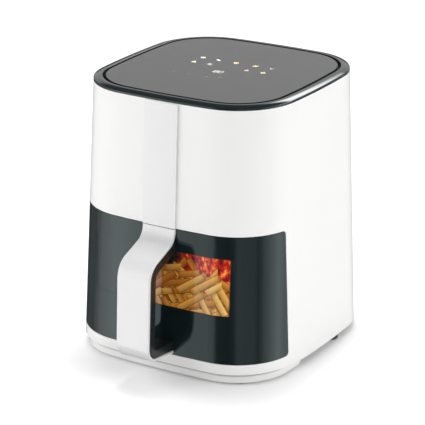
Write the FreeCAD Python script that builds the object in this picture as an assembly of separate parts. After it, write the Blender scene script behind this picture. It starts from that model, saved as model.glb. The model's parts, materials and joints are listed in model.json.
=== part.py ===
"""Drawer-type hot-air fryer with a viewing window, as an assembly of separate solids.

Millimetres, +Z up, front of the appliance towards -Y. Modelled with the origin on the table under the
body's centre, and moved at the end so that the origin lies under the middle of the overall box.
"""

import FreeCAD, Part
import math
import os

V = FreeCAD.Vector

# Body outline: a bowed, rounded square that grows towards the table
TOP_WIDTH = 260.0
TOP_DEPTH = 263.1
BASE_WIDTH = 278.2
BASE_DEPTH = 288.2
BASE_LEAD = 4.0
SIDE_BOW = 8.7
CORNER_RADIUS = 74.0
FOOT_HEIGHT = 3.0
BODY_TOP_Z = 324.0
WALL = 3.0
CLEARANCE = 0.3
PART_GAP = 0.6

# Drawer front opening
FRONT_BOTTOM_Z = 26.8
FRONT_OVER_MOUTH = 2.3
FRONT_END_Y = -79.7
FRONT_CORNER_RADIUS = 4.5
FRONT_WALL = 3.0

# Window in the drawer front
WINDOW_HALF_WIDTH = 90.4
WINDOW_TO_BOTTOM = 57.1
WINDOW_TO_TOP = 25.8
WINDOW_CORNER_RADIUS = 3.0
PANE_RECESS = 0.2

# Handle strap and the raised strip above it
STRAP_WIDTH = 43.6
STRAP_THICKNESS = 3.4
STRAP_EDGE_RADIUS = 1.4
STRIP_PROUD = 2.5
HANDLE_REACH = 53.7
HANDLE_FOOT_LIFT = 0.7
HANDLE_FOOT_RISE = 6.3
HANDLE_UPPER_DROP = 14.5
HANDLE_LOWER_DROP = 33.4
HANDLE_UPPER_RADIUS = 19.0
HANDLE_LOWER_RADIUS = 23.5
HANDLE_FOOT_RADIUS = 17.0
GRIP_WIDTH = 42.8
GRIP_THICKNESS = 11.2
GRIP_EDGE_RADIUS = 1.2
GRIP_GAP = 0.1
HANDLE_SCREW_X = 12.0
HANDLE_SCREW_DROP = 7.0
HANDLE_SCREW_DEPTH = 1.6

# Top rim and touch panel
RIM_WALL_HEIGHT = 1.0
RIM_RISE = 3.9
RIM_RUN = 7.2
RIM_LAND = 3.3
RIM_SECTIONS = 6
RIM_SKIRT_DEPTH = 6.0
RIM_SKIRT_WALL = 2.0
LEDGE_WIDTH = 6.0
PANEL_GAP = 4.0
PANEL_THICKNESS = 3.0
PANEL_DROP = 0.1

# Control electronics under the panel
CARRIER_WALL = 2.0
CARRIER_DEPTH = 18.0
BOARD_THICKNESS = 1.6
CONTROL_BOARD_SIZE = (150.0, 104.0)
CONTROL_BOARD_LIFT = 8.0
DISPLAY_SIZE = (46.0, 18.0)
DISPLAY_CENTRE_Y = -18.0
KEY_PITCH = 24.0
KEY_ROWS_Y = (26.0, 6.0)
KEY_COLUMN_COUNT = 5
KEY_PAD_RADIUS = 4.0

# Cooking chamber
CHAMBER_SIDE_ROOM = 18.5
CHAMBER_BACK_ROOM = 15.3
CHAMBER_SETBACK = 1.5
CHAMBER_LIFT = 6.1
CEILING_OVER_MOUTH = 20.0
CHAMBER_CORNER_RADIUS = 30.0
SHEET = 1.2
BEZEL_THICKNESS = 3.8
BEZEL_SHELF = 2.3
CEILING_HOLE_RADIUS = 90.0
RAIL_DEPTH = 3.4
RAIL_HEIGHT = 6.0

# Fan, heater and motor stack
STACK_HEADROOM = 7.7
DOME_RADIUS = 98.0
DOME_HEIGHT = 50.0
GUARD_RADIUS = 94.0
GUARD_RING_RADII = (28.0, 52.0, 76.0)
GUARD_FIRST_RING_COUNT = 8
GUARD_HOLE_RADIUS = 6.0
HEATER_OVER_CEILING = 16.0
HEATER_TUBE_RADIUS = 3.2
HEATER_RINGS = (76.0, 58.0)
HEATER_OPEN_ANGLE = 40.0
HEATER_BEND_RADIUS = 7.0
HEATER_TERMINAL_RISE = 18.0
INSULATOR_RADIUS = 6.0
INSULATOR_HEIGHT = 12.0
SHAFT_RADIUS = 4.0
SHAFT_OVER_CEILING = 18.0
SHAFT_END = 14.0
RUNNING_CLEARANCE = 0.05
FAN_RADIUS = 50.0
FAN_OVER_CEILING = 27.0
FAN_BLADE_HEIGHT = 11.0
FAN_BLADES = 8
HUB_RADIUS = 9.0
BRACKET_RADIUS = 42.0
BRACKET_LIFT = 8.0
BRACKET_PLATE = 2.0
MOTOR_RADIUS = 30.0
MOTOR_HEIGHT = 28.0
COOLING_FAN_RADIUS = 44.0
COOLING_FAN_HEIGHT = 8.0
COOLING_FAN_BLADES = 7
COOLING_BLADE_INSET = 1.5
COOLING_BLADE_LEAN = 35.0
PROBE_PLACE = (-60.0, -42.0)
PROBE_RADIUS = 2.0
CUTOUT_PLACE = (-50.0, 40.0)

# Power board behind the motor
POWER_BOARD_HALF_WIDTH = 58.0
POWER_BOARD_GAP = 5.9
COMPONENT_DEPTH = 18.0
TRANSFORMER_X = -30.0
TRANSFORMER_SIZE = (32.0, 28.0)
RELAY_X = 13.0
RELAY_SIZE = (18.0, 22.0)
CAPACITOR_X = 38.0
CAPACITOR_RADIUS = 7.0

# Pan and crisper plate
PAN_SIDE_ROOM = 6.0
PAN_FRONT_ROOM = 29.3
PAN_BACK_ROOM = 12.0
PAN_LIFT = 7.0
PAN_UNDER_MOUTH = 4.0
PAN_WALL = 1.5
PAN_CORNER_RADIUS = 28.0
PAN_FLOOR_RADIUS = 10.0
PAN_FLANGE = 3.2
CRISPER_LIFT = 14.0
CRISPER_THICKNESS = 2.0
CRISPER_EDGE_GAP = 6.5
CRISPER_HOLE_RADIUS = 4.0
CRISPER_HOLE_PITCH = 17.0
CRISPER_LEG_RADIUS = 4.0
CRISPER_KNOB_HEIGHT = 14.0
PAD_LENGTH = 20.0
PAD_HEIGHT = 8.0

# Inner window of the pan
GLASS_HALF_WIDTH = 67.0
GLASS_UNDER_WINDOW = 1.0
GLASS_THICKNESS = 3.6
GLASS_OVERLAP = 4.0
SEAL_WIDTH = 4.0
INNER_COVER_THICKNESS = 2.8
PAN_FRAME_RISE = 2.0
PAN_SCREW_INSET = 17.0
PAN_SCREW_DROP = 9.0
PAN_SCREW_UNDER_SEAL = 18.0

# Base
BASE_LIP_INSET = 4.6
BASE_LIP_TOP_Z = 12.4
BASE_LIP_END_Y = -45.0
BASE_LIP_END_RADIUS = 6.0
BASE_NECK_INSET = 4.0
BASE_PLINTH_INSET = 20.0
BASE_COLLAR_HEIGHT = 3.0
BASE_FLOOR = 3.0
FOOT_RADIUS = 10.0
FOOT_LENGTH = 8.0
FOOT_CHAMFER = 0.8
FRONT_FOOT_INSET = (44.4, 31.6)
REAR_FOOT_INSET = (15.1, 96.1)
STANDOFF_INSET = (34.0, 35.0)
STANDOFF_RADIUS = 6.0

# Lower edge of the housing: level in front, then falling along the sides, as Y and Z
SILL_GAP = 1.8
LOWER_EDGE_TURN_Y = -98.0
LOWER_EDGE_SIDE = (-45.0, 10.3)
LOWER_EDGE_BACK = (60.0, 8.9)

# Small fixings
SCREW_RADIUS = 2.0
SCREW_HEAD_RADIUS = 4.0
SCREW_HEAD_HEIGHT = 1.6
SCREW_CLEARANCE = 0.2

# Rear vent, duct and cord gland
VENT_HALF_WIDTH = 45.0
VENT_HEIGHT = 54.0
VENT_UNDER_MOUTH = 4.0
VENT_PROUD = 1.5
VENT_SLOT_PITCH = 8.0
VENT_SLOT_HEIGHT = 4.0
DUCT_WALL = 1.5
GLAND_X = 62.0
GLAND_Z = 46.0
GLAND_FLANGE_RADIUS = 9.0
GLAND_NECK_RADIUS = 6.5
GLAND_BORE_RADIUS = 3.6
GLAND_FLANGE_HEIGHT = 3.0

# Interlock switch
SWITCH_DROP = 14.3
SWITCH_SIDE_GAP = 0.5
PLUNGER_RADIUS = 2.5
PLUNGER_REACH = 3.6
SWITCH_LENGTH = 24.0
SWITCH_WIDTH = 7.0
SWITCH_HEIGHT = 20.0

# Lamp
LAMP_INSET = (28.0, 20.0)
LAMP_LENS_RADIUS = 9.8
LAMP_HOLDER_RADIUS = 12.0
LAMP_HOLDER_HEIGHT = 26.0

SPAN = BODY_TOP_Z - FOOT_HEIGHT
FAR = 400.0


def half_sizes(z):
    """Half width and half depth of the body at height z."""
    share = (z - FOOT_HEIGHT) / SPAN
    width = BASE_WIDTH + (TOP_WIDTH - BASE_WIDTH) * share
    depth = BASE_DEPTH + (TOP_DEPTH - BASE_DEPTH) * share
    return width / 2, depth / 2


def middle_y(z):
    """Y of the body's middle at height z: the base lies a little ahead of the top."""
    return -BASE_LEAD * (BODY_TOP_Z - z) / SPAN


def front_y(z, proud=0.0):
    """Y of the body's front at its middle, at height z."""
    return middle_y(z) - half_sizes(z)[1] - proud


def rear_y(z):
    """Y of the body's back at its middle, at height z."""
    return middle_y(z) + half_sizes(z)[1]


# Heights that follow, from the rim down to the drawer
RIM_WIDE_Z = BODY_TOP_Z + RIM_WALL_HEIGHT
RIM_TOP_Z = RIM_WIDE_Z + RIM_RISE
PANEL_TOP_Z = RIM_TOP_Z - PANEL_DROP
PANEL_BOTTOM_Z = PANEL_TOP_Z - PANEL_THICKNESS
CARRIER_TOP_Z = BODY_TOP_Z - CLEARANCE
CARRIER_BOTTOM_Z = CARRIER_TOP_Z - CARRIER_DEPTH
BOARD_Z = CARRIER_BOTTOM_Z + CARRIER_WALL + CONTROL_BOARD_LIFT
SHAFT_TOP_Z = CARRIER_BOTTOM_Z - STACK_HEADROOM
MOTOR_TOP_Z = SHAFT_TOP_Z - SHAFT_END
BRACKET_TOP_Z = MOTOR_TOP_Z - MOTOR_HEIGHT
DOME_TOP_Z = BRACKET_TOP_Z - BRACKET_PLATE - BRACKET_LIFT
HEATER_TERMINAL_Z = DOME_TOP_Z + HEATER_TERMINAL_RISE
CHAMBER_TOP_Z = DOME_TOP_Z - DOME_HEIGHT
HEATER_Z = CHAMBER_TOP_Z + HEATER_OVER_CEILING
SHAFT_BOTTOM_Z = CHAMBER_TOP_Z + SHAFT_OVER_CEILING
FAN_Z = CHAMBER_TOP_Z + FAN_OVER_CEILING
MOUTH_TOP_Z = CHAMBER_TOP_Z - CEILING_OVER_MOUTH
FRONT_TOP_Z = MOUTH_TOP_Z + FRONT_OVER_MOUTH
WINDOW_TOP_Z = FRONT_TOP_Z - WINDOW_TO_TOP
WINDOW_BOTTOM_Z = FRONT_BOTTOM_Z + WINDOW_TO_BOTTOM
GLASS_TOP_Z = WINDOW_TOP_Z - GLASS_UNDER_WINDOW
GLASS_BOTTOM_Z = WINDOW_BOTTOM_Z
HANDLE_BOTTOM_Z = FRONT_BOTTOM_Z + HANDLE_FOOT_LIFT
HANDLE_UPPER_BEND_Z = FRONT_TOP_Z - HANDLE_UPPER_DROP
HANDLE_LOWER_BEND_Z = FRONT_TOP_Z - HANDLE_LOWER_DROP
SWITCH_Z = FRONT_TOP_Z - SWITCH_DROP
VENT_TOP_Z = MOUTH_TOP_Z - VENT_UNDER_MOUTH
VENT_BOTTOM_Z = VENT_TOP_Z - VENT_HEIGHT
CHAMBER_BOTTOM_Z = FRONT_BOTTOM_Z + CHAMBER_LIFT
PAN_BOTTOM_Z = CHAMBER_BOTTOM_Z + PAN_LIFT
PAN_TOP_Z = MOUTH_TOP_Z - PAN_UNDER_MOUTH
FLANGE_BOTTOM_Z = PAN_TOP_Z - PAN_WALL
CRISPER_Z = PAN_BOTTOM_Z + CRISPER_LIFT
BASE_FLOOR_Z = FOOT_HEIGHT + BASE_FLOOR
SILL_Z = BASE_LIP_TOP_Z + SILL_GAP
BASE_PLATE_TOP_Z = SILL_Z + WALL

# Places across and along that follow
RECESS_INSET = RIM_RUN + RIM_LAND
CARRIER_INSET = WALL + CLEARANCE + RIM_SKIRT_WALL + CLEARANCE
CHAMBER_HALF_WIDTH = half_sizes(CHAMBER_TOP_Z)[0] - CHAMBER_SIDE_ROOM
CHAMBER_BACK_Y = rear_y(CHAMBER_TOP_Z) - CHAMBER_BACK_ROOM
CHAMBER_FRONT_Y = FRONT_END_Y + CHAMBER_SETBACK
STACK_Y = (CHAMBER_FRONT_Y + CHAMBER_BACK_Y) / 2
PAN_HALF_WIDTH = CHAMBER_HALF_WIDTH - PAN_SIDE_ROOM
PAN_FRONT_Y = front_y(FRONT_TOP_Z) + PAN_FRONT_ROOM
PAN_BACK_Y = CHAMBER_BACK_Y - PAN_BACK_ROOM
GLASS_BACK_Y = PAN_FRONT_Y - CLEARANCE / 2
GLASS_FRONT_Y = GLASS_BACK_Y - GLASS_THICKNESS
COVER_BACK_Y = GLASS_FRONT_Y - CLEARANCE / 2
COVER_FRONT_Y = COVER_BACK_Y - INNER_COVER_THICKNESS
BEZEL_BACK_Y = CHAMBER_FRONT_Y - CLEARANCE
BEZEL_FRONT_Y = BEZEL_BACK_Y - BEZEL_THICKNESS
PLUNGER_TIP_Y = BEZEL_FRONT_Y - PLUNGER_REACH
SWITCH_X = CHAMBER_HALF_WIDTH + SWITCH_SIDE_GAP + SWITCH_WIDTH / 2
LAMP_PLACE = (CHAMBER_HALF_WIDTH - LAMP_INSET[0], CHAMBER_FRONT_Y + LAMP_INSET[1])
BORE_RADIUS = SHAFT_RADIUS + RUNNING_CLEARANCE
HANDLE_SCREWS = tuple((side * HANDLE_SCREW_X, FRONT_TOP_Z - HANDLE_SCREW_DROP) for side in (-1, 1))
PAN_SCREW_HEIGHTS = (GLASS_BOTTOM_Z - SEAL_WIDTH - PAN_SCREW_UNDER_SEAL, PAN_TOP_Z - PAN_SCREW_DROP)
PAN_SCREW_X = GLASS_HALF_WIDTH - PAN_SCREW_INSET
PAN_SCREWS = tuple((side * PAN_SCREW_X, z) for side in (-1, 1) for z in PAN_SCREW_HEIGHTS)
FOOT_ROWS = (
    (BASE_WIDTH / 2 - FRONT_FOOT_INSET[0], front_y(FOOT_HEIGHT) + FRONT_FOOT_INSET[1]),
    (BASE_WIDTH / 2 - REAR_FOOT_INSET[0], rear_y(FOOT_HEIGHT) - REAR_FOOT_INSET[1]),
)
FOOT_PLACES = tuple((side * x, y) for x, y in FOOT_ROWS for side in (-1, 1))
STANDOFF_PLACES = tuple(
    (side * (CHAMBER_HALF_WIDTH - STANDOFF_INSET[0]), y)
    for y in (CHAMBER_FRONT_Y + STANDOFF_INSET[1], CHAMBER_BACK_Y - STANDOFF_INSET[1])
    for side in (-1, 1)
)

parts = {}
block_cache = {}


def arc(centre, radius, start, end, z):
    """Arc about a vertical axis, from one angle to the other, in radians."""
    points = []
    for share in (0.0, 0.5, 1.0):
        angle = start + (end - start) * share
        points.append(V(centre[0] + radius * math.cos(angle), centre[1] + radius * math.sin(angle), z))
    return Part.Arc(*points).toShape()


def outline(shape_z, inset, z):
    """Closed wire of the body's outline at shape_z, moved in by inset, drawn at height z."""
    half_width, half_depth = half_sizes(shape_z)
    side_radius = (half_depth**2 + SIDE_BOW**2) / (2 * SIDE_BOW)
    front_radius = (half_width**2 + SIDE_BOW**2) / (2 * SIDE_BOW)
    side_x = half_width - side_radius
    back_y = half_depth - front_radius
    to_side = side_radius - CORNER_RADIUS
    to_back = front_radius - CORNER_RADIUS
    apart = math.hypot(side_x, back_y)
    along = (to_side**2 - to_back**2 + apart**2) / (2 * apart)
    across = math.sqrt(to_side**2 - along**2)
    unit_x, unit_y = -side_x / apart, back_y / apart
    corner_x = side_x + unit_x * along - unit_y * across
    corner_y = unit_y * along + unit_x * across
    side_angle = math.atan2(corner_y, corner_x - side_x)
    back_angle = math.atan2(corner_y - back_y, corner_x)
    edges = []
    for turn in (0, 2):
        sign = 1 if turn == 0 else -1
        turned = math.pi / 2 * turn
        corners = (
            ((sign * corner_x, sign * corner_y), turned + side_angle, turned + back_angle),
            ((-sign * corner_x, sign * corner_y), turned + math.pi - back_angle, turned + math.pi - side_angle),
        )
        edges.append(arc((sign * side_x, 0), side_radius - inset, turned - side_angle, turned + side_angle, z))
        edges.append(arc(*corners[0][:1], CORNER_RADIUS - inset, *corners[0][1:], z))
        edges.append(
            arc((0, sign * back_y), front_radius - inset, turned + back_angle, turned + math.pi - back_angle, z)
        )
        edges.append(arc(*corners[1][:1], CORNER_RADIUS - inset, *corners[1][1:], z))
    wire = Part.Wire(edges)
    wire.translate(V(0, middle_y(shape_z), 0))
    return wire


def block(inset):
    """The whole body as a solid, moved in by inset on its sides."""
    if inset not in block_cache:
        wires = [outline(FOOT_HEIGHT, inset, FOOT_HEIGHT), outline(BODY_TOP_Z, inset, BODY_TOP_Z)]
        block_cache[inset] = Part.makeLoft(wires, True, True)
    return block_cache[inset]


def shell(outer_inset, inner_inset):
    """Wall of the body between two insets."""
    return block(outer_inset).cut(block(inner_inset))


def prism(inset, z_low, z_high):
    """Straight-sided solid on the outline of the body's top."""
    face = Part.Face(outline(BODY_TOP_Z, inset, z_low))
    return face.extrude(V(0, 0, z_high - z_low))


def box(x_low, x_high, y_low, y_high, z_low, z_high):
    """Box between two corners."""
    return Part.makeBox(x_high - x_low, y_high - y_low, z_high - z_low, V(x_low, y_low, z_low))


def disc(radius, x, y, z_low, z_high):
    """Upright cylinder."""
    return Part.makeCylinder(radius, z_high - z_low, V(x, y, z_low))


def rod_y(radius, x, z, y_low, y_high):
    """Cylinder along Y."""
    return Part.makeCylinder(radius, y_high - y_low, V(x, y_low, z), V(0, 1, 0))


def ring(outer, inner, x, y, z_low, z_high):
    """Upright tube."""
    return disc(outer, x, y, z_low, z_high).cut(disc(inner, x, y, z_low, z_high))


def edges_along(shape, direction, keep=lambda middle: True):
    """Straight edges of a shape that run along a direction and whose middle passes keep."""
    found = []
    for edge in shape.Edges:
        if len(edge.Vertexes) != 2:
            continue
        run = edge.Vertexes[1].Point - edge.Vertexes[0].Point
        if run.Length < 1e-6 or abs(abs(run.normalize().dot(direction)) - 1) > 1e-6:
            continue
        if keep((edge.Vertexes[0].Point + edge.Vertexes[1].Point) * 0.5):
            found.append(edge)
    return found


def rounded_front(half_width, z_low, z_high, radius, y_low, y_high):
    """Block along Y whose outline in the front view is a rounded rectangle."""
    solid = box(-half_width, half_width, y_low, y_high, z_low, z_high)
    return solid.makeFillet(radius, edges_along(solid, V(0, 1, 0)))


def rounded_plan(half_width, y_low, y_high, z_low, z_high, radius, keep=lambda middle: True):
    """Block along Z whose upright edges are rounded."""
    solid = box(-half_width, half_width, y_low, y_high, z_low, z_high)
    return solid.makeFillet(radius, edges_along(solid, V(0, 0, 1), keep))


def front_opening(grow):
    """Space that the drawer front fills, grown by a gap: everything ahead of FRONT_END_Y."""
    end_y = FRONT_END_Y + grow
    solid = box(-FAR, FAR, -FAR, end_y, FRONT_BOTTOM_Z - grow, FRONT_TOP_Z + grow)
    rear_edges = edges_along(solid, V(1, 0, 0), lambda middle: abs(middle.y - end_y) < 1e-6)
    return solid.makeFillet(FRONT_CORNER_RADIUS + grow, rear_edges)


def lip_space():
    """Space under the front sill that the base's lip fills, its rear ends rounded below."""
    solid = box(-FAR, FAR, -FAR, BASE_LIP_END_Y, FOOT_HEIGHT, BASE_LIP_TOP_Z)
    end_edges = edges_along(
        solid, V(1, 0, 0), lambda middle: middle.y > BASE_LIP_END_Y - 1 and middle.z < FOOT_HEIGHT + 1
    )
    return solid.makeFillet(BASE_LIP_END_RADIUS, end_edges)


def under_housing():
    """Space under the housing's lower edge."""
    points = [(-FAR, -FAR), (-FAR, SILL_Z), (LOWER_EDGE_TURN_Y, SILL_Z), LOWER_EDGE_SIDE, LOWER_EDGE_BACK]
    points += [(FAR, LOWER_EDGE_BACK[1]), (FAR, -FAR)]
    corners = [V(-FAR, y, z) for y, z in points]
    return Part.Face(Part.makePolygon(corners + corners[:1])).extrude(V(2 * FAR, 0, 0))


def fused(solids):
    """One solid from several that touch."""
    whole = solids[0].fuse(list(solids[1:]))
    return whole.removeSplitter()


def add(name, shape):
    """Keeps a node: one solid, or a group of separate ones."""
    solids = shape.Solids
    parts[name] = solids[0] if len(solids) == 1 else Part.makeCompound(solids)


def group(name, shapes):
    """Keeps a node of separate identical solids."""
    parts[name] = Part.makeCompound([solid for shape in shapes for solid in shape.Solids])


def screw(x, z, head_y, length):
    """Pan-head screw along +Y, its head's front face at head_y."""
    head = rod_y(SCREW_HEAD_RADIUS, x, z, head_y, head_y + SCREW_HEAD_HEIGHT)
    shank = rod_y(SCREW_RADIUS, x, z, head_y + SCREW_HEAD_HEIGHT, head_y + SCREW_HEAD_HEIGHT + length)
    return fused([head, shank])


def screw_hole(x, z, y_low, y_high):
    """Clearance hole along Y for a screw's shank."""
    return rod_y(SCREW_RADIUS + SCREW_CLEARANCE, x, z, y_low, y_high)


# Housing


def vent_space(grow):
    """Opening for the rear vent, grown by a gap."""
    low, high = VENT_BOTTOM_Z - grow, VENT_TOP_Z + grow
    return rounded_front(VENT_HALF_WIDTH + grow, low, high, WINDOW_CORNER_RADIUS, CHAMBER_BACK_Y, FAR)


def make_housing():
    """White outer shell with its raised front strip."""
    body = shell(0, WALL)
    body = body.cut(front_opening(PART_GAP))
    body = body.cut(under_housing())
    body = body.cut(vent_space(0))
    body = body.cut(rod_y(GLAND_NECK_RADIUS + CLEARANCE / 2, GLAND_X, GLAND_Z, CHAMBER_BACK_Y, FAR))
    add("outer_housing", body)

    half = STRAP_WIDTH / 2
    low, high = FRONT_TOP_Z + PART_GAP, BODY_TOP_Z - PART_GAP
    strip = box(-half, half, -FAR, 0, low, high).common(block(-STRIP_PROUD)).cut(block(0))
    add("front_strip", strip)


def make_rear():
    """Exhaust vent with its duct, and the cord gland."""
    frame = shell(-VENT_PROUD, WALL).common(vent_space(-CLEARANCE))
    slots = []
    count = int((VENT_TOP_Z - VENT_BOTTOM_Z) / VENT_SLOT_PITCH) - 1
    first = (VENT_BOTTOM_Z + VENT_TOP_Z) / 2 - VENT_SLOT_PITCH * (count - 1) / 2
    half = VENT_HALF_WIDTH - 2 * WALL
    for index in range(count):
        z = first + index * VENT_SLOT_PITCH
        low, high = z - VENT_SLOT_HEIGHT / 2, z + VENT_SLOT_HEIGHT / 2
        slots.append(rounded_front(half, low, high, VENT_SLOT_HEIGHT * 0.45, 0, FAR))
    add("rear_vent", frame.cut(Part.makeCompound(slots)))

    outer = box(
        -VENT_HALF_WIDTH + WALL, VENT_HALF_WIDTH - WALL, CHAMBER_BACK_Y + CLEARANCE, FAR,
        VENT_BOTTOM_Z + WALL, VENT_TOP_Z - WALL,
    )
    inner = box(
        -VENT_HALF_WIDTH + WALL + DUCT_WALL, VENT_HALF_WIDTH - WALL - DUCT_WALL, 0, FAR,
        VENT_BOTTOM_Z + WALL + DUCT_WALL, VENT_TOP_Z - WALL - DUCT_WALL,
    )
    add("exhaust_duct", outer.cut(inner).common(block(WALL + CLEARANCE)))

    outside_y = rear_y(GLAND_Z) + GLAND_FLANGE_HEIGHT
    flange = rod_y(GLAND_FLANGE_RADIUS, GLAND_X, GLAND_Z, CHAMBER_BACK_Y, outside_y).cut(block(0))
    neck_y = rear_y(GLAND_Z) - 4 * WALL
    neck = rod_y(GLAND_NECK_RADIUS, GLAND_X, GLAND_Z, neck_y, outside_y)
    bore = rod_y(GLAND_BORE_RADIUS, GLAND_X, GLAND_Z, 0, FAR)
    add("cord_gland", fused([flange, neck]).cut(bore))


def make_base():
    """Bottom tray with its front lip, set-back plinth and collar, feet, standoffs and screws."""
    collar_inset = WALL + CLEARANCE
    neck_inset = BASE_LIP_INSET + BASE_NECK_INSET
    neck_end_y = BASE_LIP_END_Y - BASE_LIP_END_RADIUS
    lip = block(BASE_LIP_INSET).common(lip_space())
    neck = block(neck_inset).common(box(-FAR, FAR, -FAR, neck_end_y, FOOT_HEIGHT, SILL_Z))
    plinth = block(BASE_PLINTH_INSET).common(box(-FAR, FAR, -FAR, FAR, FOOT_HEIGHT, SILL_Z))
    collar_top_z = BASE_PLATE_TOP_Z + BASE_COLLAR_HEIGHT
    collar = block(collar_inset).common(box(-FAR, FAR, -FAR, FAR, SILL_Z, collar_top_z))
    base = fused([lip, neck, plinth, collar])
    front_room = box(-FAR, FAR, -FAR, neck_end_y - WALL, BASE_FLOOR_Z, FAR)
    rooms = [
        block(neck_inset + WALL).common(front_room),
        block(BASE_PLINTH_INSET + WALL).common(box(-FAR, FAR, -FAR, FAR, BASE_FLOOR_Z, FAR)),
        block(collar_inset + WALL).common(box(-FAR, FAR, -FAR, FAR, BASE_PLATE_TOP_Z, FAR)),
    ]
    base = base.cut(fused(rooms))
    slots = []
    for index in range(-3, 4):
        x = index * 2 * VENT_SLOT_PITCH
        slot = box(x - VENT_SLOT_HEIGHT / 2, x + VENT_SLOT_HEIGHT / 2, 0, STANDOFF_PLACES[2][1], 0, FAR)
        slots.append(slot)
    base = base.cut(Part.makeCompound(slots))
    head_seat_z = BASE_FLOOR_Z - BASE_FLOOR / 3
    screws, posts, feet = [], [], []
    for x, y in STANDOFF_PLACES:
        seat = disc(SCREW_HEAD_RADIUS + CLEARANCE, x, y, 0, head_seat_z)
        hole = disc(SCREW_RADIUS + SCREW_CLEARANCE, x, y, 0, FAR)
        base = base.cut(fused([seat, hole]))
        head = disc(SCREW_HEAD_RADIUS, x, y, head_seat_z - SCREW_HEAD_HEIGHT, head_seat_z)
        tip_z = (BASE_FLOOR_Z + CHAMBER_BOTTOM_Z) / 2
        screws.append(fused([head, disc(SCREW_RADIUS, x, y, head_seat_z, tip_z)]))
        post = disc(STANDOFF_RADIUS, x, y, BASE_FLOOR_Z, CHAMBER_BOTTOM_Z)
        pilot = disc(SCREW_RADIUS + RUNNING_CLEARANCE, x, y, 0, tip_z + 1)
        posts.append(post.cut(pilot))
    for x, y in FOOT_PLACES:
        in_lip = y < BASE_LIP_END_Y
        boss_low_z = FOOT_HEIGHT if in_lip else FOOT_LENGTH
        boss_high_z = BASE_LIP_TOP_Z if in_lip else SILL_Z
        boss = disc(FOOT_RADIUS + WALL, x, y, boss_low_z, boss_high_z).common(block(BASE_LIP_INSET))
        base = fused([base, boss]).cut(disc(FOOT_RADIUS + CLEARANCE, x, y, 0, FOOT_LENGTH))
        foot = disc(FOOT_RADIUS, x, y, 0, FOOT_LENGTH)
        feet.append(foot.makeChamfer(FOOT_CHAMFER, [e for e in foot.Edges if e.BoundBox.ZMax < 1e-6]))
    add("base_cover", base)
    group("rubber_feet", feet)
    group("chamber_standoffs", posts)
    group("base_screws", screws)


# Top rim, panel and controls


def make_top():
    """Dark rim, touch panel and the electronics under it."""
    wires = [outline(BODY_TOP_Z, 0, BODY_TOP_Z)]
    for index in range(RIM_SECTIONS):
        angle = math.pi / 2 * index / (RIM_SECTIONS - 1)
        inset = RIM_RUN * (1 - math.cos(angle))
        wires.append(outline(BODY_TOP_Z, inset, RIM_WIDE_Z + RIM_RISE * math.sin(angle)))
    rim = Part.makeLoft(wires, True, True)
    skirt = prism(WALL + CLEARANCE, BODY_TOP_Z - RIM_SKIRT_DEPTH, BODY_TOP_Z).cut(
        prism(WALL + CLEARANCE + RIM_SKIRT_WALL, BODY_TOP_Z - RIM_SKIRT_DEPTH, BODY_TOP_Z)
    )
    rim = rim.fuse(skirt)
    rim = rim.cut(prism(RECESS_INSET, PANEL_BOTTOM_Z - CLEARANCE, FAR))
    rim = rim.cut(prism(RECESS_INSET + LEDGE_WIDTH, 0, FAR))
    add("top_rim", rim)
    add("touch_panel", prism(RECESS_INSET + PANEL_GAP, PANEL_BOTTOM_Z, PANEL_TOP_Z))

    carrier = prism(CARRIER_INSET, CARRIER_BOTTOM_Z, CARRIER_TOP_Z)
    carrier = carrier.cut(prism(CARRIER_INSET + CARRIER_WALL, CARRIER_BOTTOM_Z + CARRIER_WALL, FAR))
    half_x, half_y = CONTROL_BOARD_SIZE[0] / 2, CONTROL_BOARD_SIZE[1] / 2
    posts = []
    for x in (-half_x + 2 * STANDOFF_RADIUS, half_x - 2 * STANDOFF_RADIUS):
        for y in (-half_y + STANDOFF_RADIUS, half_y - STANDOFF_RADIUS):
            posts.append(disc(STANDOFF_RADIUS / 2, x, y, CARRIER_BOTTOM_Z, BOARD_Z))
    add("board_carrier", fused([carrier, *posts]))

    board_top_z = BOARD_Z + BOARD_THICKNESS
    add("control_board", box(-half_x, half_x, -half_y, half_y, BOARD_Z, board_top_z))
    half_x, half_y = DISPLAY_SIZE[0] / 2, DISPLAY_SIZE[1] / 2
    low_y, high_y = DISPLAY_CENTRE_Y - half_y, DISPLAY_CENTRE_Y + half_y
    display_top_z = PANEL_BOTTOM_Z - 2 * CLEARANCE
    add("display_module", box(-half_x, half_x, low_y, high_y, board_top_z, display_top_z))
    pads = []
    for y in KEY_ROWS_Y:
        for index in range(KEY_COLUMN_COUNT):
            x = (index - (KEY_COLUMN_COUNT - 1) / 2) * KEY_PITCH
            pads.append(disc(KEY_PAD_RADIUS, x, y, board_top_z, PANEL_BOTTOM_Z - CLEARANCE))
    group("touch_pads", pads)


# Cooking chamber with its fan, heater and motor


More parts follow.
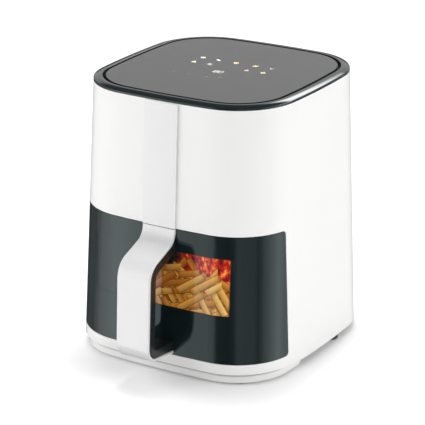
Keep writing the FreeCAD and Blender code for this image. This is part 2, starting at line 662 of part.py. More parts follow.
def make_chamber():
    """Sheet-metal chamber, front bezel, rails, lamp and interlock switch."""

    def at_back(middle):
        return middle.y > 0

    outer = rounded_plan(
        CHAMBER_HALF_WIDTH, CHAMBER_FRONT_Y, CHAMBER_BACK_Y, CHAMBER_BOTTOM_Z, CHAMBER_TOP_Z,
        CHAMBER_CORNER_RADIUS, at_back,
    )
    inner_half = CHAMBER_HALF_WIDTH - SHEET
    floor_z = CHAMBER_BOTTOM_Z + SHEET
    inner = rounded_plan(
        inner_half, CHAMBER_FRONT_Y + SHEET, CHAMBER_BACK_Y - SHEET, floor_z, CHAMBER_TOP_Z - SHEET,
        CHAMBER_CORNER_RADIUS - SHEET, at_back,
    )
    mouth = box(-inner_half, inner_half, -FAR, CHAMBER_FRONT_Y + 2 * SHEET, floor_z, MOUTH_TOP_Z)
    chamber = outer.cut(inner).cut(mouth)
    cuts = [disc(CEILING_HOLE_RADIUS, 0, STACK_Y, CHAMBER_TOP_Z - 2 * SHEET, FAR)]
    cuts.append(disc(LAMP_LENS_RADIUS + CLEARANCE / 2, *LAMP_PLACE, CHAMBER_TOP_Z - 2 * SHEET, FAR))
    middle_z = (VENT_BOTTOM_Z + VENT_TOP_Z) / 2
    half = VENT_HALF_WIDTH - 3 * WALL
    for index in (-1, 0, 1):
        z = middle_z + index * 2 * VENT_SLOT_PITCH
        low, high = z - VENT_SLOT_HEIGHT, z + VENT_SLOT_HEIGHT
        cuts.append(box(-half, half, CHAMBER_BACK_Y - 2 * SHEET, FAR, low, high))
    add("cooking_chamber", chamber.cut(Part.makeCompound(cuts)))

    inside = block(WALL + CLEARANCE)
    shelf_low, shelf_high = FRONT_BOTTOM_Z - PART_GAP, FRONT_TOP_Z + 1.5 * PART_GAP
    bezel = inside.common(
        box(-FAR, FAR, -FAR, BEZEL_BACK_Y, shelf_low - BEZEL_SHELF, shelf_high + BEZEL_SHELF)
    )
    bezel = bezel.cut(box(-FAR, FAR, -FAR, BEZEL_FRONT_Y, shelf_low, shelf_high))
    bezel = bezel.cut(box(-inner_half, inner_half, -FAR, FAR, floor_z, MOUTH_TOP_Z))
    bezel = bezel.cut(rod_y(PLUNGER_RADIUS + CLEARANCE, SWITCH_X, SWITCH_Z, -FAR, FAR))
    add("opening_bezel", bezel)

    rails = []
    for sign in (-1, 1):
        near, far = sorted((sign * (inner_half - RAIL_DEPTH), sign * (inner_half - CLEARANCE / 2)))
        top_z = FLANGE_BOTTOM_Z - CLEARANCE
        end_y = CHAMBER_BACK_Y - CHAMBER_CORNER_RADIUS
        rails.append(box(near, far, CHAMBER_FRONT_Y + 2 * SHEET, end_y, top_z - RAIL_HEIGHT, top_z))
    group("drawer_rails", rails)

    lens_top_z = CHAMBER_TOP_Z + SHEET
    add("lamp_lens", disc(LAMP_LENS_RADIUS, *LAMP_PLACE, CHAMBER_TOP_Z - SHEET, lens_top_z))
    holder = disc(LAMP_HOLDER_RADIUS, *LAMP_PLACE, CHAMBER_TOP_Z, CHAMBER_TOP_Z + LAMP_HOLDER_HEIGHT)
    bulb_z = CHAMBER_TOP_Z + LAMP_HOLDER_HEIGHT - WALL
    bulb_space = disc(LAMP_LENS_RADIUS + CLEARANCE / 2, *LAMP_PLACE, 0, bulb_z)
    add("lamp_holder", holder.cut(bulb_space))
    bulb_radius = LAMP_LENS_RADIUS / 2
    stem = disc(bulb_radius / 2, *LAMP_PLACE, bulb_z - 3 * bulb_radius, bulb_z)
    globe = Part.makeSphere(bulb_radius, V(*LAMP_PLACE, bulb_z - 3 * bulb_radius))
    add("lamp_bulb", fused([globe, stem]))

    switch = box(
        SWITCH_X - SWITCH_WIDTH / 2, SWITCH_X + SWITCH_WIDTH / 2, BEZEL_BACK_Y + CLEARANCE / 2,
        BEZEL_BACK_Y + SWITCH_LENGTH, SWITCH_Z - SWITCH_HEIGHT / 2, SWITCH_Z + SWITCH_HEIGHT / 2,
    )
    bore_end_y = BEZEL_BACK_Y + SWITCH_LENGTH - WALL
    bore = rod_y(PLUNGER_RADIUS + RUNNING_CLEARANCE, SWITCH_X, SWITCH_Z, -FAR, bore_end_y)
    add("drawer_switch", switch.cut(bore))
    plunger_end_y = BEZEL_BACK_Y + SWITCH_LENGTH / 2
    add("switch_plunger", rod_y(PLUNGER_RADIUS, SWITCH_X, SWITCH_Z, PLUNGER_TIP_Y, plunger_end_y))


def heater_path():
    """Two concentric open rings joined by a hairpin, with both ends turned up, as edges in order."""
    outer, inner = HEATER_RINGS
    start = math.radians(HEATER_OPEN_ANGLE / 2)
    hairpin = -math.radians(HEATER_OPEN_ANGLE / 2)

    def at(radius, angle, z=HEATER_Z):
        return V(radius * math.cos(angle), STACK_Y + radius * math.sin(angle), z)

    def along(angle):
        return V(-math.sin(angle), math.cos(angle), 0)

    def upturn(radius, angle):
        """Corner, arc middle and top of the bend from the ring up to a terminal."""
        ring_end = at(radius, angle)
        out = along(angle) * -HEATER_BEND_RADIUS
        centre = ring_end + V(0, 0, HEATER_BEND_RADIUS)
        middle = centre + (out - V(0, 0, HEATER_BEND_RADIUS)) * math.sqrt(0.5)
        return ring_end, middle, centre + out

    full = 2 * math.pi
    outer_end, outer_middle, outer_top = upturn(outer, start)
    inner_end, inner_middle, inner_top = upturn(inner, start)
    hairpin_middle = at((outer + inner) / 2, hairpin) + along(hairpin) * ((outer - inner) / 2)
    half_way = (start + hairpin + full) / 2
    return [
        Part.LineSegment(V(outer_top.x, outer_top.y, HEATER_TERMINAL_Z), outer_top).toShape(),
        Part.Arc(outer_top, outer_middle, outer_end).toShape(),
        Part.Arc(outer_end, at(outer, half_way), at(outer, hairpin)).toShape(),
        Part.Arc(at(outer, hairpin), hairpin_middle, at(inner, hairpin)).toShape(),
        Part.Arc(at(inner, hairpin), at(inner, half_way), inner_end).toShape(),
        Part.Arc(inner_end, inner_middle, inner_top).toShape(),
        Part.LineSegment(inner_top, V(inner_top.x, inner_top.y, HEATER_TERMINAL_Z)).toShape(),
    ]


def blade(radius, thickness, z_low, z_high, angle, lean=0.0):
    """Flat radial blade from the hub outwards, leaned about its own length."""
    solid = box(HUB_RADIUS * 0.7, radius, -thickness / 2, thickness / 2, z_low, z_high)
    solid.rotate(V(0, 0, (z_low + z_high) / 2), V(1, 0, 0), lean)
    solid.rotate(V(0, 0, 0), V(0, 0, 1), angle)
    solid.translate(V(0, STACK_Y, 0))
    return solid


def make_stack():
    """Heater, guard, dome, fans, motor and their small pieces above the chamber."""
    path = Part.Wire(heater_path())
    start = path.Edges[0].Vertexes[0].Point
    circle = Part.Wire(Part.makeCircle(HEATER_TUBE_RADIUS, V(start.x, start.y, HEATER_TERMINAL_Z), V(0, 0, 1)))
    heater = path.makePipeShell([circle], True, False)
    print("heater volume over section times length:", heater.Volume / (Part.Face(circle).Area * path.Length))
    add("heater_coil", heater)
    terminals = [e.Vertexes[-1].Point for e in (path.Edges[0], path.Edges[-1])]

    guard = disc(GUARD_RADIUS, 0, STACK_Y, CHAMBER_TOP_Z + CLEARANCE, CHAMBER_TOP_Z + CLEARANCE + SHEET)
    holes = []
    for ring_number, radius in enumerate(GUARD_RING_RADII, 1):
        count = GUARD_FIRST_RING_COUNT * ring_number
        for index in range(count):
            angle = 2 * math.pi * index / count
            x, y = radius * math.cos(angle), STACK_Y + radius * math.sin(angle)
            holes.append(disc(GUARD_HOLE_RADIUS, x, y, 0, FAR))
    add("heater_guard", guard.cut(Part.makeCompound(holes)))

    dome = disc(DOME_RADIUS, 0, STACK_Y, CHAMBER_TOP_Z, DOME_TOP_Z)
    dome = dome.cut(disc(DOME_RADIUS - SHEET, 0, STACK_Y, 0, DOME_TOP_Z - SHEET))
    dome = dome.cut(disc(SHAFT_RADIUS * 2, 0, STACK_Y, 0, FAR))
    insulators = []
    for point in terminals:
        dome = dome.cut(disc(INSULATOR_RADIUS + SCREW_CLEARANCE, point.x, point.y, 0, FAR))
        low, high = DOME_TOP_Z - INSULATOR_HEIGHT / 2, DOME_TOP_Z + INSULATOR_HEIGHT / 2
        bore = HEATER_TUBE_RADIUS + SCREW_CLEARANCE
        insulators.append(ring(INSULATOR_RADIUS, bore, point.x, point.y, low, high))
    group("heater_insulators", insulators)

    probe_place = (PROBE_PLACE[0], STACK_Y + PROBE_PLACE[1])
    dome = dome.cut(disc(PROBE_RADIUS + SCREW_CLEARANCE, *probe_place, 0, FAR))
    add("fan_dome", dome)
    probe = disc(PROBE_RADIUS, *probe_place, FAN_Z, DOME_TOP_Z + BRACKET_LIFT)
    collar = disc(2 * PROBE_RADIUS, *probe_place, DOME_TOP_Z, DOME_TOP_Z + WALL)
    add("temperature_probe", fused([probe, collar]))
    cutout_place = (CUTOUT_PLACE[0], STACK_Y + CUTOUT_PLACE[1])
    add("thermal_cutout", disc(2 * SCREW_HEAD_RADIUS, *cutout_place, DOME_TOP_Z, DOME_TOP_Z + 2 * WALL))

    bracket = disc(BRACKET_RADIUS, 0, STACK_Y, DOME_TOP_Z + BRACKET_LIFT, BRACKET_TOP_Z)
    bracket = bracket.cut(disc(SHAFT_RADIUS * 2, 0, STACK_Y, 0, FAR))
    legs, screws = [], []
    motor = disc(MOTOR_RADIUS, 0, STACK_Y, BRACKET_TOP_Z, MOTOR_TOP_Z)
    motor = motor.makeFillet(WALL, [e for e in motor.Edges if e.BoundBox.ZMin > MOTOR_TOP_Z - 1e-6])
    motor = motor.cut(disc(BORE_RADIUS, 0, STACK_Y, 0, FAR))
    for index in range(3):
        angle = 2 * math.pi * (index + 0.25) / 3
        x, y = math.cos(angle), math.sin(angle)
        leg_radius = BRACKET_RADIUS - STANDOFF_RADIUS
        leg_place = (leg_radius * x, STACK_Y + leg_radius * y)
        legs.append(disc(STANDOFF_RADIUS / 2, *leg_place, DOME_TOP_Z, BRACKET_TOP_Z))
        screw_radius = MOTOR_RADIUS * 0.7
        place = (screw_radius * x, STACK_Y + screw_radius * y)
        hole_top = BRACKET_TOP_Z + 2 * WALL
        bracket = bracket.cut(disc(SCREW_RADIUS + SCREW_CLEARANCE, *place, 0, FAR))
        motor = motor.cut(disc(SCREW_RADIUS + RUNNING_CLEARANCE, *place, 0, hole_top))
        head_top = DOME_TOP_Z + BRACKET_LIFT
        head = disc(SCREW_HEAD_RADIUS, *place, head_top - SCREW_HEAD_HEIGHT, head_top)
        screws.append(fused([head, disc(SCREW_RADIUS, *place, head_top, hole_top - CLEARANCE)]))
    add("motor_bracket", fused([bracket, *legs]))
    add("fan_motor", motor)
    group("motor_screws", screws)

    add("motor_shaft", disc(SHAFT_RADIUS, 0, STACK_Y, SHAFT_BOTTOM_Z, SHAFT_TOP_Z))
    fan_top = FAN_Z + FAN_BLADE_HEIGHT
    fan_pieces = [disc(HUB_RADIUS, 0, STACK_Y, FAN_Z, fan_top + SHEET)]
    fan_pieces.append(disc(FAN_RADIUS, 0, STACK_Y, fan_top, fan_top + SHEET))
    for index in range(FAN_BLADES):
        fan_pieces.append(blade(FAN_RADIUS, SHEET, FAN_Z, fan_top, 360.0 * index / FAN_BLADES))
    fit_radius = SHAFT_RADIUS + RUNNING_CLEARANCE / 2
    add("hot_air_fan", fused(fan_pieces).cut(disc(fit_radius, 0, STACK_Y, 0, FAR)))
    nut_radius = 1.6 * SHAFT_RADIUS
    nut_angles = [math.pi / 3 * index for index in range(7)]
    corners = [V(nut_radius * math.cos(angle), nut_radius * math.sin(angle), 0) for angle in nut_angles]
    nut = Part.Face(Part.makePolygon(corners)).extrude(V(0, 0, FAN_Z - CLEARANCE - SHAFT_BOTTOM_Z - SHEET))
    nut.translate(V(0, STACK_Y, SHAFT_BOTTOM_Z + SHEET))
    add("fan_nut", nut.cut(disc(fit_radius, 0, STACK_Y, 0, FAR)))
    low = MOTOR_TOP_Z + 1.5 * SHEET
    cooling = [disc(HUB_RADIUS, 0, STACK_Y, low, low + COOLING_FAN_HEIGHT)]
    for index in range(COOLING_FAN_BLADES):
        angle = 360.0 * index / COOLING_FAN_BLADES
        blade_low, blade_high = low + COOLING_BLADE_INSET, low + COOLING_FAN_HEIGHT - COOLING_BLADE_INSET
        cooling.append(blade(COOLING_FAN_RADIUS, 1.5 * SHEET, blade_low, blade_high, angle, COOLING_BLADE_LEAN))
    add("cooling_fan", fused(cooling).cut(disc(fit_radius, 0, STACK_Y, 0, FAR)))


def make_power_board():
    """Power board on standoffs at the back wall, with its larger components."""
    low_z, high_z = DOME_TOP_Z + WALL, CARRIER_BOTTOM_Z - 2 * WALL
    board_back_y = rear_y(high_z) - WALL - POWER_BOARD_GAP
    board_y = board_back_y - BOARD_THICKNESS
    half = POWER_BOARD_HALF_WIDTH
    add("power_board", box(-half, half, board_y, board_back_y, low_z, high_z))
    posts = []
    for x in (-half + STANDOFF_RADIUS, half - STANDOFF_RADIUS):
        for z in (low_z + STANDOFF_RADIUS, high_z - STANDOFF_RADIUS):
            post = rod_y(STANDOFF_RADIUS / 2, x, z, board_back_y, FAR)
            posts.append(post.common(block(WALL)))
    group("board_standoffs", posts)
    front = board_y - COMPONENT_DEPTH
    middle_z = (low_z + high_z) / 2
    devices = []
    for x, (width, height) in ((TRANSFORMER_X, TRANSFORMER_SIZE), (RELAY_X, RELAY_SIZE)):
        low, high = middle_z - height / 2, middle_z + height / 2
        devices.append(box(x - width / 2, x + width / 2, front, board_y, low, high))
    devices.append(rod_y(CAPACITOR_RADIUS, CAPACITOR_X, middle_z, front, board_y))
    group("power_components", devices)


# Drawer


def window_space(grow):
    """Window opening in the drawer front, grown by a gap."""
    return rounded_front(
        WINDOW_HALF_WIDTH + grow, WINDOW_BOTTOM_Z - grow, WINDOW_TOP_Z + grow, WINDOW_CORNER_RADIUS, -FAR, 0
    )


def make_front():
    """Dark drawer front with its window pane, inner cover and inner window."""
    front = shell(0, FRONT_WALL).common(front_opening(0))
    front = front.cut(window_space(0))
    for x, z in HANDLE_SCREWS:
        front = front.cut(screw_hole(x, z, -FAR, 0))
    add("front_panel", front)
    add("window_pane", shell(PANE_RECESS, FRONT_WALL).common(window_space(-CLEARANCE / 2)))

    cover = block(FRONT_WALL + CLEARANCE).common(
        box(-FAR, FAR, COVER_FRONT_Y, COVER_BACK_Y, FRONT_BOTTOM_Z + WALL / 2, FRONT_TOP_Z - CLEARANCE)
    )
    sight = rounded_front(
        GLASS_HALF_WIDTH - GLASS_OVERLAP, GLASS_BOTTOM_Z + GLASS_OVERLAP, GLASS_TOP_Z - GLASS_OVERLAP,
        WINDOW_CORNER_RADIUS, -FAR, 0,
    )
    cover = cover.cut(sight)
    frame_half = GLASS_HALF_WIDTH + 3 * SEAL_WIDTH
    frame_low = PAN_BOTTOM_Z + PAN_FLOOR_RADIUS + PAN_FRAME_RISE
    frame = box(-frame_half, frame_half, GLASS_FRONT_Y, GLASS_BACK_Y, frame_low, PAN_TOP_Z)
    seal_low, seal_high = GLASS_BOTTOM_Z - SEAL_WIDTH, GLASS_TOP_Z + SEAL_WIDTH
    seal_half = GLASS_HALF_WIDTH + SEAL_WIDTH
    frame = frame.cut(box(-seal_half, seal_half, -FAR, 0, seal_low, seal_high))
    screws = []
    for x, z in PAN_SCREWS:
        hole = screw_hole(x, z, -FAR, 0)
        cover, frame = cover.cut(hole), frame.cut(hole)
        screw_length = PAN_FRONT_Y + 3 * PAN_WALL - COVER_FRONT_Y
        screws.append(screw(x, z, COVER_FRONT_Y - SCREW_HEAD_HEIGHT, screw_length))
    add("drawer_inner_cover", cover)
    add("pan_frame", frame)
    group("pan_screws", screws)
    small = CLEARANCE / 2
    seal = box(
        -seal_half + small, seal_half - small, GLASS_FRONT_Y, GLASS_BACK_Y, seal_low + small, seal_high - small
    )
    glass_space = box(-GLASS_HALF_WIDTH, GLASS_HALF_WIDTH, -FAR, 0, GLASS_BOTTOM_Z, GLASS_TOP_Z)
    add("glass_seal", seal.cut(glass_space))
    glass = box(
        -GLASS_HALF_WIDTH + small, GLASS_HALF_WIDTH - small, GLASS_FRONT_Y, GLASS_BACK_Y,
        GLASS_BOTTOM_Z + small, GLASS_TOP_Z - small,
    )
    add("inner_glass", glass)
    tab = box(
        SWITCH_X - SWITCH_WIDTH / 2, FAR, PLUNGER_TIP_Y - SWITCH_LENGTH, PLUNGER_TIP_Y - CLEARANCE,
        SWITCH_Z - SWITCH_HEIGHT / 4, SWITCH_Z + SWITCH_HEIGHT / 4,
    )
    add("switch_tab", tab.common(block(FRONT_WALL)))


def bent_path(points, radii):
    """Wire through points in the YZ plane, with the inner corners rounded to the given radii."""
    edges = []
    last = points[0]
    for before, corner, after, radius in zip(points[:-2], points[1:-1], points[2:], radii):
        into, out = (corner - before).normalize(), (after - corner).normalize()
        turn = math.acos(into.dot(out))
        reach = radius * math.tan(turn / 2)
        start, end = corner - into * reach, corner + out * reach
        bisector = (out - into).normalize()
        middle = corner + bisector * (radius / math.cos(turn / 2) - radius)
        edges.append(Part.LineSegment(last, start).toShape())
        edges.append(Part.Arc(start, middle, end).toShape())
        last = end
    edges.append(Part.LineSegment(last, points[-1]).toShape())
    return Part.Wire(edges)


def moved_in(points, distance):
    """Polyline in the YZ plane moved sideways, to the left of its run as seen along -X."""
    runs = [(b - a).normalize() for a, b in zip(points[:-1], points[1:])]
    sides = [V(0, -run.z, run.y) * distance for run in runs]
    moved = [points[0] + sides[0]]
    for corner, run, side, next_run, next_side in zip(points[1:-1], runs, sides, runs[1:], sides[1:]):
        turn = next_run.y * run.z - next_run.z * run.y
        step = next_side - side
        reach = (next_run.y * step.z - next_run.z * step.y) / turn
        moved.append(corner + side + run * reach)
    moved.append(points[-1] + sides[-1])
    return moved


def swept_bar(points, radii, width, thickness, edge_radius):
    """Flat bar with rounded edges, swept along a bent path that starts downwards."""
    half = thickness / 2
    top = points[0]
    section = box(-width / 2, width / 2, top.y - half, top.y + half, top.z - 1, top.z)
    section = section.makeFillet(edge_radius, edges_along(section, V(0, 0, 1)))
    profile = [w for f in section.Faces if f.CenterOfMass.z > top.z - 1e-6 for w in f.Wires][0]
    lean = math.degrees(math.atan2(points[0].y - points[1].y, points[0].z - points[1].z))
    profile.rotate(top, V(1, 0, 0), -lean)
    return bent_path(points, radii).makePipeShell([profile], True, False)


def make_handle():
    """Strap handle with its dark inner grip, bent out from the drawer front and back to its foot."""
    half = STRAP_THICKNESS / 2

    def centre(z, reach):
        return V(0, front_y(z, reach) + half, z)

    foot_z = HANDLE_BOTTOM_Z + half
    points = [
        centre(FRONT_TOP_Z, STRIP_PROUD),
        centre(HANDLE_UPPER_BEND_Z, STRIP_PROUD),
        centre(HANDLE_LOWER_BEND_Z, HANDLE_REACH),
        centre(foot_z + HANDLE_FOOT_RISE, HANDLE_REACH),
        V(0, front_y(foot_z) + 2 * half, foot_z),
    ]
    radii = (HANDLE_UPPER_RADIUS, HANDLE_LOWER_RADIUS, HANDLE_FOOT_RADIUS)
    strap = swept_bar(points, radii, STRAP_WIDTH, STRAP_THICKNESS, STRAP_EDGE_RADIUS)
    strap = strap.cut(block(0))
    strap = strap.cut(block(-CLEARANCE).common(box(-FAR, FAR, -FAR, FAR, 0, FRONT_BOTTOM_Z + CLEARANCE)))
    strap = strap.cut(box(-FAR, FAR, -FAR, FAR, FRONT_TOP_Z - CLEARANCE, FAR))
    inward = half + GRIP_GAP + GRIP_THICKNESS / 2
    grip_radii = (HANDLE_UPPER_RADIUS + inward, HANDLE_LOWER_RADIUS - inward, HANDLE_FOOT_RADIUS - inward)
    grip = swept_bar(moved_in(points, inward), grip_radii, GRIP_WIDTH, GRIP_THICKNESS, GRIP_EDGE_RADIUS)
    grip = grip.cut(block(-GRIP_GAP))
    add("handle_grip", grip.cut(box(-FAR, FAR, -FAR, FAR, HANDLE_UPPER_BEND_Z, FAR)))
    screws = []
    for x, z in HANDLE_SCREWS:
        head_y = front_y(z + SCREW_HEAD_RADIUS) + FRONT_WALL + CLEARANCE
        head = rod_y(SCREW_HEAD_RADIUS, x, z, head_y, head_y + SCREW_HEAD_HEIGHT)
        shank = rod_y(SCREW_RADIUS, x, z, front_y(z) - HANDLE_SCREW_DEPTH, head_y)
        screws.append(fused([head, shank]))
        strap = strap.cut(screw_hole(x, z, front_y(z) - HANDLE_SCREW_DEPTH - CLEARANCE, 0))
    add("handle", strap)
    group("handle_screws", screws)


def make_pan():
    """Non-stick pan with its flange and window opening, and the crisper plate in it."""
    outer = rounded_plan(PAN_HALF_WIDTH, PAN_FRONT_Y, PAN_BACK_Y, PAN_BOTTOM_Z, PAN_TOP_Z, PAN_CORNER_RADIUS)
    outer_floor_edges = [e for e in outer.Edges if e.BoundBox.ZMax < PAN_BOTTOM_Z + 1e-6]
    outer = outer.makeFillet(PAN_FLOOR_RADIUS, outer_floor_edges)
    inner = rounded_plan(
        PAN_HALF_WIDTH - PAN_WALL, PAN_FRONT_Y + PAN_WALL, PAN_BACK_Y - PAN_WALL, PAN_BOTTOM_Z + PAN_WALL,
        PAN_TOP_Z + PAN_WALL, PAN_CORNER_RADIUS - PAN_WALL,
    )
    floor_edges = [e for e in inner.Edges if e.BoundBox.ZMax < PAN_BOTTOM_Z + PAN_WALL + 1e-6]
    inner = inner.makeFillet(PAN_FLOOR_RADIUS - PAN_WALL, floor_edges)
    flange = rounded_plan(
        PAN_HALF_WIDTH + PAN_FLANGE, PAN_FRONT_Y, PAN_BACK_Y + PAN_FLANGE, FLANGE_BOTTOM_Z, PAN_TOP_Z,
        PAN_CORNER_RADIUS,
    )
    pan = fused([outer, flange]).cut(inner)
    opening = rounded_front(
        GLASS_HALF_WIDTH - GLASS_OVERLAP, GLASS_BOTTOM_Z + GLASS_OVERLAP, GLASS_TOP_Z - GLASS_OVERLAP,
        WINDOW_CORNER_RADIUS, -FAR, 0,
    )
    pan = pan.cut(opening)
    for x, z in PAN_SCREWS:
        pan = pan.cut(screw_hole(x, z, -FAR, 0))
    add("pan", pan)

    gap = PAN_WALL + CRISPER_EDGE_GAP
    half, front, back = PAN_HALF_WIDTH - gap, PAN_FRONT_Y + gap, PAN_BACK_Y - gap
    top_z = CRISPER_Z + CRISPER_THICKNESS
    plate = rounded_plan(half, front, back, CRISPER_Z, top_z, PAN_CORNER_RADIUS - gap)
    plate_y = (front + back) / 2
    knob_clear = 2 * STANDOFF_RADIUS
    legs = [(sx * 0.7 * half, plate_y + sy * 0.7 * half) for sx in (-1, 1) for sy in (-1, 1)]
    count = int((half - CRISPER_HOLE_PITCH) / CRISPER_HOLE_PITCH)
    holes = []
    for i in range(-count, count + 1):
        for j in range(-count, count + 1):
            x, y = i * CRISPER_HOLE_PITCH, plate_y + j * CRISPER_HOLE_PITCH
            to_leg = min(math.hypot(x - a, y - b) for a, b in legs)
            near_leg = to_leg < CRISPER_LEG_RADIUS + CRISPER_HOLE_RADIUS + 1
            if not near_leg and math.hypot(x, y - plate_y) > knob_clear:
                holes.append(disc(CRISPER_HOLE_RADIUS, x, y, 0, FAR))
    plate = plate.cut(Part.makeCompound(holes))
    pieces = [plate]
    for x, y in legs:
        pieces.append(disc(CRISPER_LEG_RADIUS, x, y, PAN_BOTTOM_Z + PAN_WALL + CLEARANCE, top_z))
    pieces.append(disc(STANDOFF_RADIUS / 2, 0, plate_y, CRISPER_Z, top_z + CRISPER_KNOB_HEIGHT))
    knob = disc(STANDOFF_RADIUS * 1.4, 0, plate_y, top_z + CRISPER_KNOB_HEIGHT / 2, top_z + CRISPER_KNOB_HEIGHT)
    knob_edges = [e for e in knob.Edges if e.Curve.TypeId == "Part::GeomCircle"]
    pieces.append(knob.makeFillet(CRISPER_THICKNESS, knob_edges))
    add("crisper_plate", fused(pieces))

    pads = []
    small = CLEARANCE / 2
    overhang = (PAD_HEIGHT - CRISPER_THICKNESS) / 2
    low, high = CRISPER_Z - overhang, top_z + overhang
    reach = CRISPER_EDGE_GAP - CLEARANCE
    for sign in (-1, 1):
        near, far = sorted((sign * (half + small), sign * (half + reach)))
        pads.append(box(near, far, plate_y - PAD_LENGTH / 2, plate_y + PAD_LENGTH / 2, low, high))
    pads.append(box(-PAD_LENGTH / 2, PAD_LENGTH / 2, back + small, back + reach, low, high))
    pads.append(box(-PAD_LENGTH / 2, PAD_LENGTH / 2, front - reach, front - small, low, high))
    group("crisper_pads", pads)


make_housing()
make_rear()
make_base()
make_top()
make_chamber()
make_stack()
make_power_board()
make_front()
make_handle()
make_pan()

# Put the origin on the table under the middle of the overall box, from the handle's front to the gland's end
front_end = parts["handle"].optimalBoundingBox().YMin
back_end = parts["cord_gland"].optimalBoundingBox().YMax
to_middle = V(0, -(front_end + back_end) / 2, 0)
print("moved along Y by", to_middle.y)
for shape in parts.values():
    shape.translate(to_middle)

os.makedirs("parts", exist_ok=True)
for name, shape in parts.items():
    solids = shape.Solids
    good = all(solid.isValid() and solid.Volume > 0 for solid in solids)
    print(f"{name}: {len(solids)} solid(s), {shape.Volume / 1000:.1f} cm3{'' if good else ' INVALID'}")
    shape.exportStep(f"parts/{name}.step")
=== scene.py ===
"""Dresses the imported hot-air fryer: materials, lit keys, window design, smooth rim, studio and camera."""

import json
import math

import bmesh
import bpy
from mathutils import Matrix, Vector


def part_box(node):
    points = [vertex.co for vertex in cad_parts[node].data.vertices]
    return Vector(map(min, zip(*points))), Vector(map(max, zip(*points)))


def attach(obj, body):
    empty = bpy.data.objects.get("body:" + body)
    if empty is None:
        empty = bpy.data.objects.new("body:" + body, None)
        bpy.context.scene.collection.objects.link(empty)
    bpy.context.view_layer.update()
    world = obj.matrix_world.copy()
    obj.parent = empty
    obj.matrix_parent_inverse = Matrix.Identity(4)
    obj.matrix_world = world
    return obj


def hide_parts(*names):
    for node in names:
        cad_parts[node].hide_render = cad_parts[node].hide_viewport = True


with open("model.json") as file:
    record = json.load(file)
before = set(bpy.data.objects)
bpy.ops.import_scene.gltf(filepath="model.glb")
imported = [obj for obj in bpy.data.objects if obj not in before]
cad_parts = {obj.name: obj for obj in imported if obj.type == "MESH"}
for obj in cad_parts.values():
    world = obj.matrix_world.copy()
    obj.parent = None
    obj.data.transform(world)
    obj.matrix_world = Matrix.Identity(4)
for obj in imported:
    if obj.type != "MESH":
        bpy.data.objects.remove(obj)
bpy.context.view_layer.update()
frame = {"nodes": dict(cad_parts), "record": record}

MM = 0.001

# Places taken from the frame, in metres
panel_low, panel_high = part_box("touch_panel")
pane_low, pane_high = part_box("window_pane")
rim_low, rim_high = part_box("top_rim")
HOUSING_TOP_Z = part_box("outer_housing")[1].z
PANEL_TOP_Z = panel_high.z
BODY_Y = (panel_low.y + panel_high.y) / 2

# Camera of the photograph, in metres, with lens and sensor in millimetres
CAMERA_AZIMUTH = math.radians(30.96)
CAMERA_ELEVATION = math.radians(19.88)
CAMERA_DISTANCE = 2.4348
CAMERA_TARGET = Vector((0, BODY_Y, 0.1622))
CAMERA_LENS = 172.9
CAMERA_SENSOR = 36
CAMERA_SHIFT = (-0.02403, -0.02127)
CAMERA_REACH = 100

# Even light on matt surfaces, and the floor with its size in metres
AMBIENT = 0.57
FLOOR_SIZE = 30
FLOOR_LIFT = 0.09
FLOOR_TONES = ((0.93, 0.93, 0.93), (0.95, 0.95, 0.95))
FLOOR_ROUGHNESS = 0.9

# Soft lamps, in metres and watts
LAMP_AIM = Vector((0, BODY_Y, 0.17))
LAMPS = {
    "right_lamp": {"place": (2.9, 0.5, 1.1), "size": (2.4, 2.0), "watts": 28.5},
    "left_lamp": {"place": (-2.0, -1.7, 1.7), "size": (2.6, 2.6), "watts": 36.5},
    "back_lamp": {"place": (0.2, 1.4, 2.6), "size": (3.0, 2.4), "watts": 12.0},
    "top_lamp": {"place": (-0.2, 0.42, 2.8), "size": (0.7, 0.7), "watts": 33.0},
}

# Bands round the object that glossy and clear pieces show: degrees from front to right, and brightness
LOW_BAND = (
    (-180, 0.3), (-149, 0.05), (-118, 0.08), (-108, 0.18), (-91, 0.26), (-77, 0.7), (-66, 1.35),
    (-55, 1.75), (-46, 2.15), (-39, 2.45), (-33, 1.6), (-26, 1.25), (-15, 1.05), (-5, 0.12),
    (14, 0.05), (22, 0.12), (32, 0.56), (46, 0.5), (58, 0.5), (68, 0.28), (74, 0.5),
    (79, 0.85), (86, 1.1), (94, 1.5), (108, 2.0), (128, 1.2), (150, 0.4), (180, 0.3),
)
MIDDLE_BAND = (
    (-180, 0.85), (-120, 0.82), (-100, 0.6), (-70, 0.9), (-45, 1.3), (-20, 1.0), (-5, 0.15),
    (50, 0.12), (75, 0.6), (110, 0.9), (180, 0.85),
)
HIGH_BAND = (
    (-180, 9.0), (-165, 9.0), (-155, 1.0), (-146, 0.1), (60, 0.1), (100, 2.0), (130, 9.0), (180, 9.0),
)
END_COLOUR = (0.1, 0.1, 0.1)

# Where one band turns into the next, as the upward part of a direction, 1 overhead and -1 underneath
MIDDLE_FROM = (0.02, 0.18)
HIGH_FROM = (0.44, 0.54)
TOP_END_FROM = (0.62, 0.68)
LOW_END_FROM = (-0.48, -0.62)

# Noise of the materials, scales per metre, and the middle part of its range that they use
NOISE_LOW = 0.3
NOISE_HIGH = 0.7
DRIFT_NOISE = {"scale": 9.0, "detail": 4.0}
PATCH_NOISE = {"scale": 40.0, "detail": 5.0, "rough": 0.6}
STAIN_NOISE = {"scale": 14.0, "detail": 5.0, "rough": 0.6}
SMEAR_NOISE = {"scale": 25.0, "detail": 4.0}
PANE_NOISE = {"scale": 30.0, "detail": 4.0}
GLOW_NOISE = {"scale": 120.0, "detail": 5.0, "rough": 0.7}
CRUST_NOISE = {"scale": 230.0, "detail": 5.0, "rough": 0.65}
INK_NOISE = {"scale": 300.0, "detail": 3.0}
FLOOR_NOISE = {"scale": 1.5, "detail": 3.0}

# Shader values that several materials share
LOW_GLARE = 0.1
COOL_TINT = (0.86, 1.0, 1.0, 1)

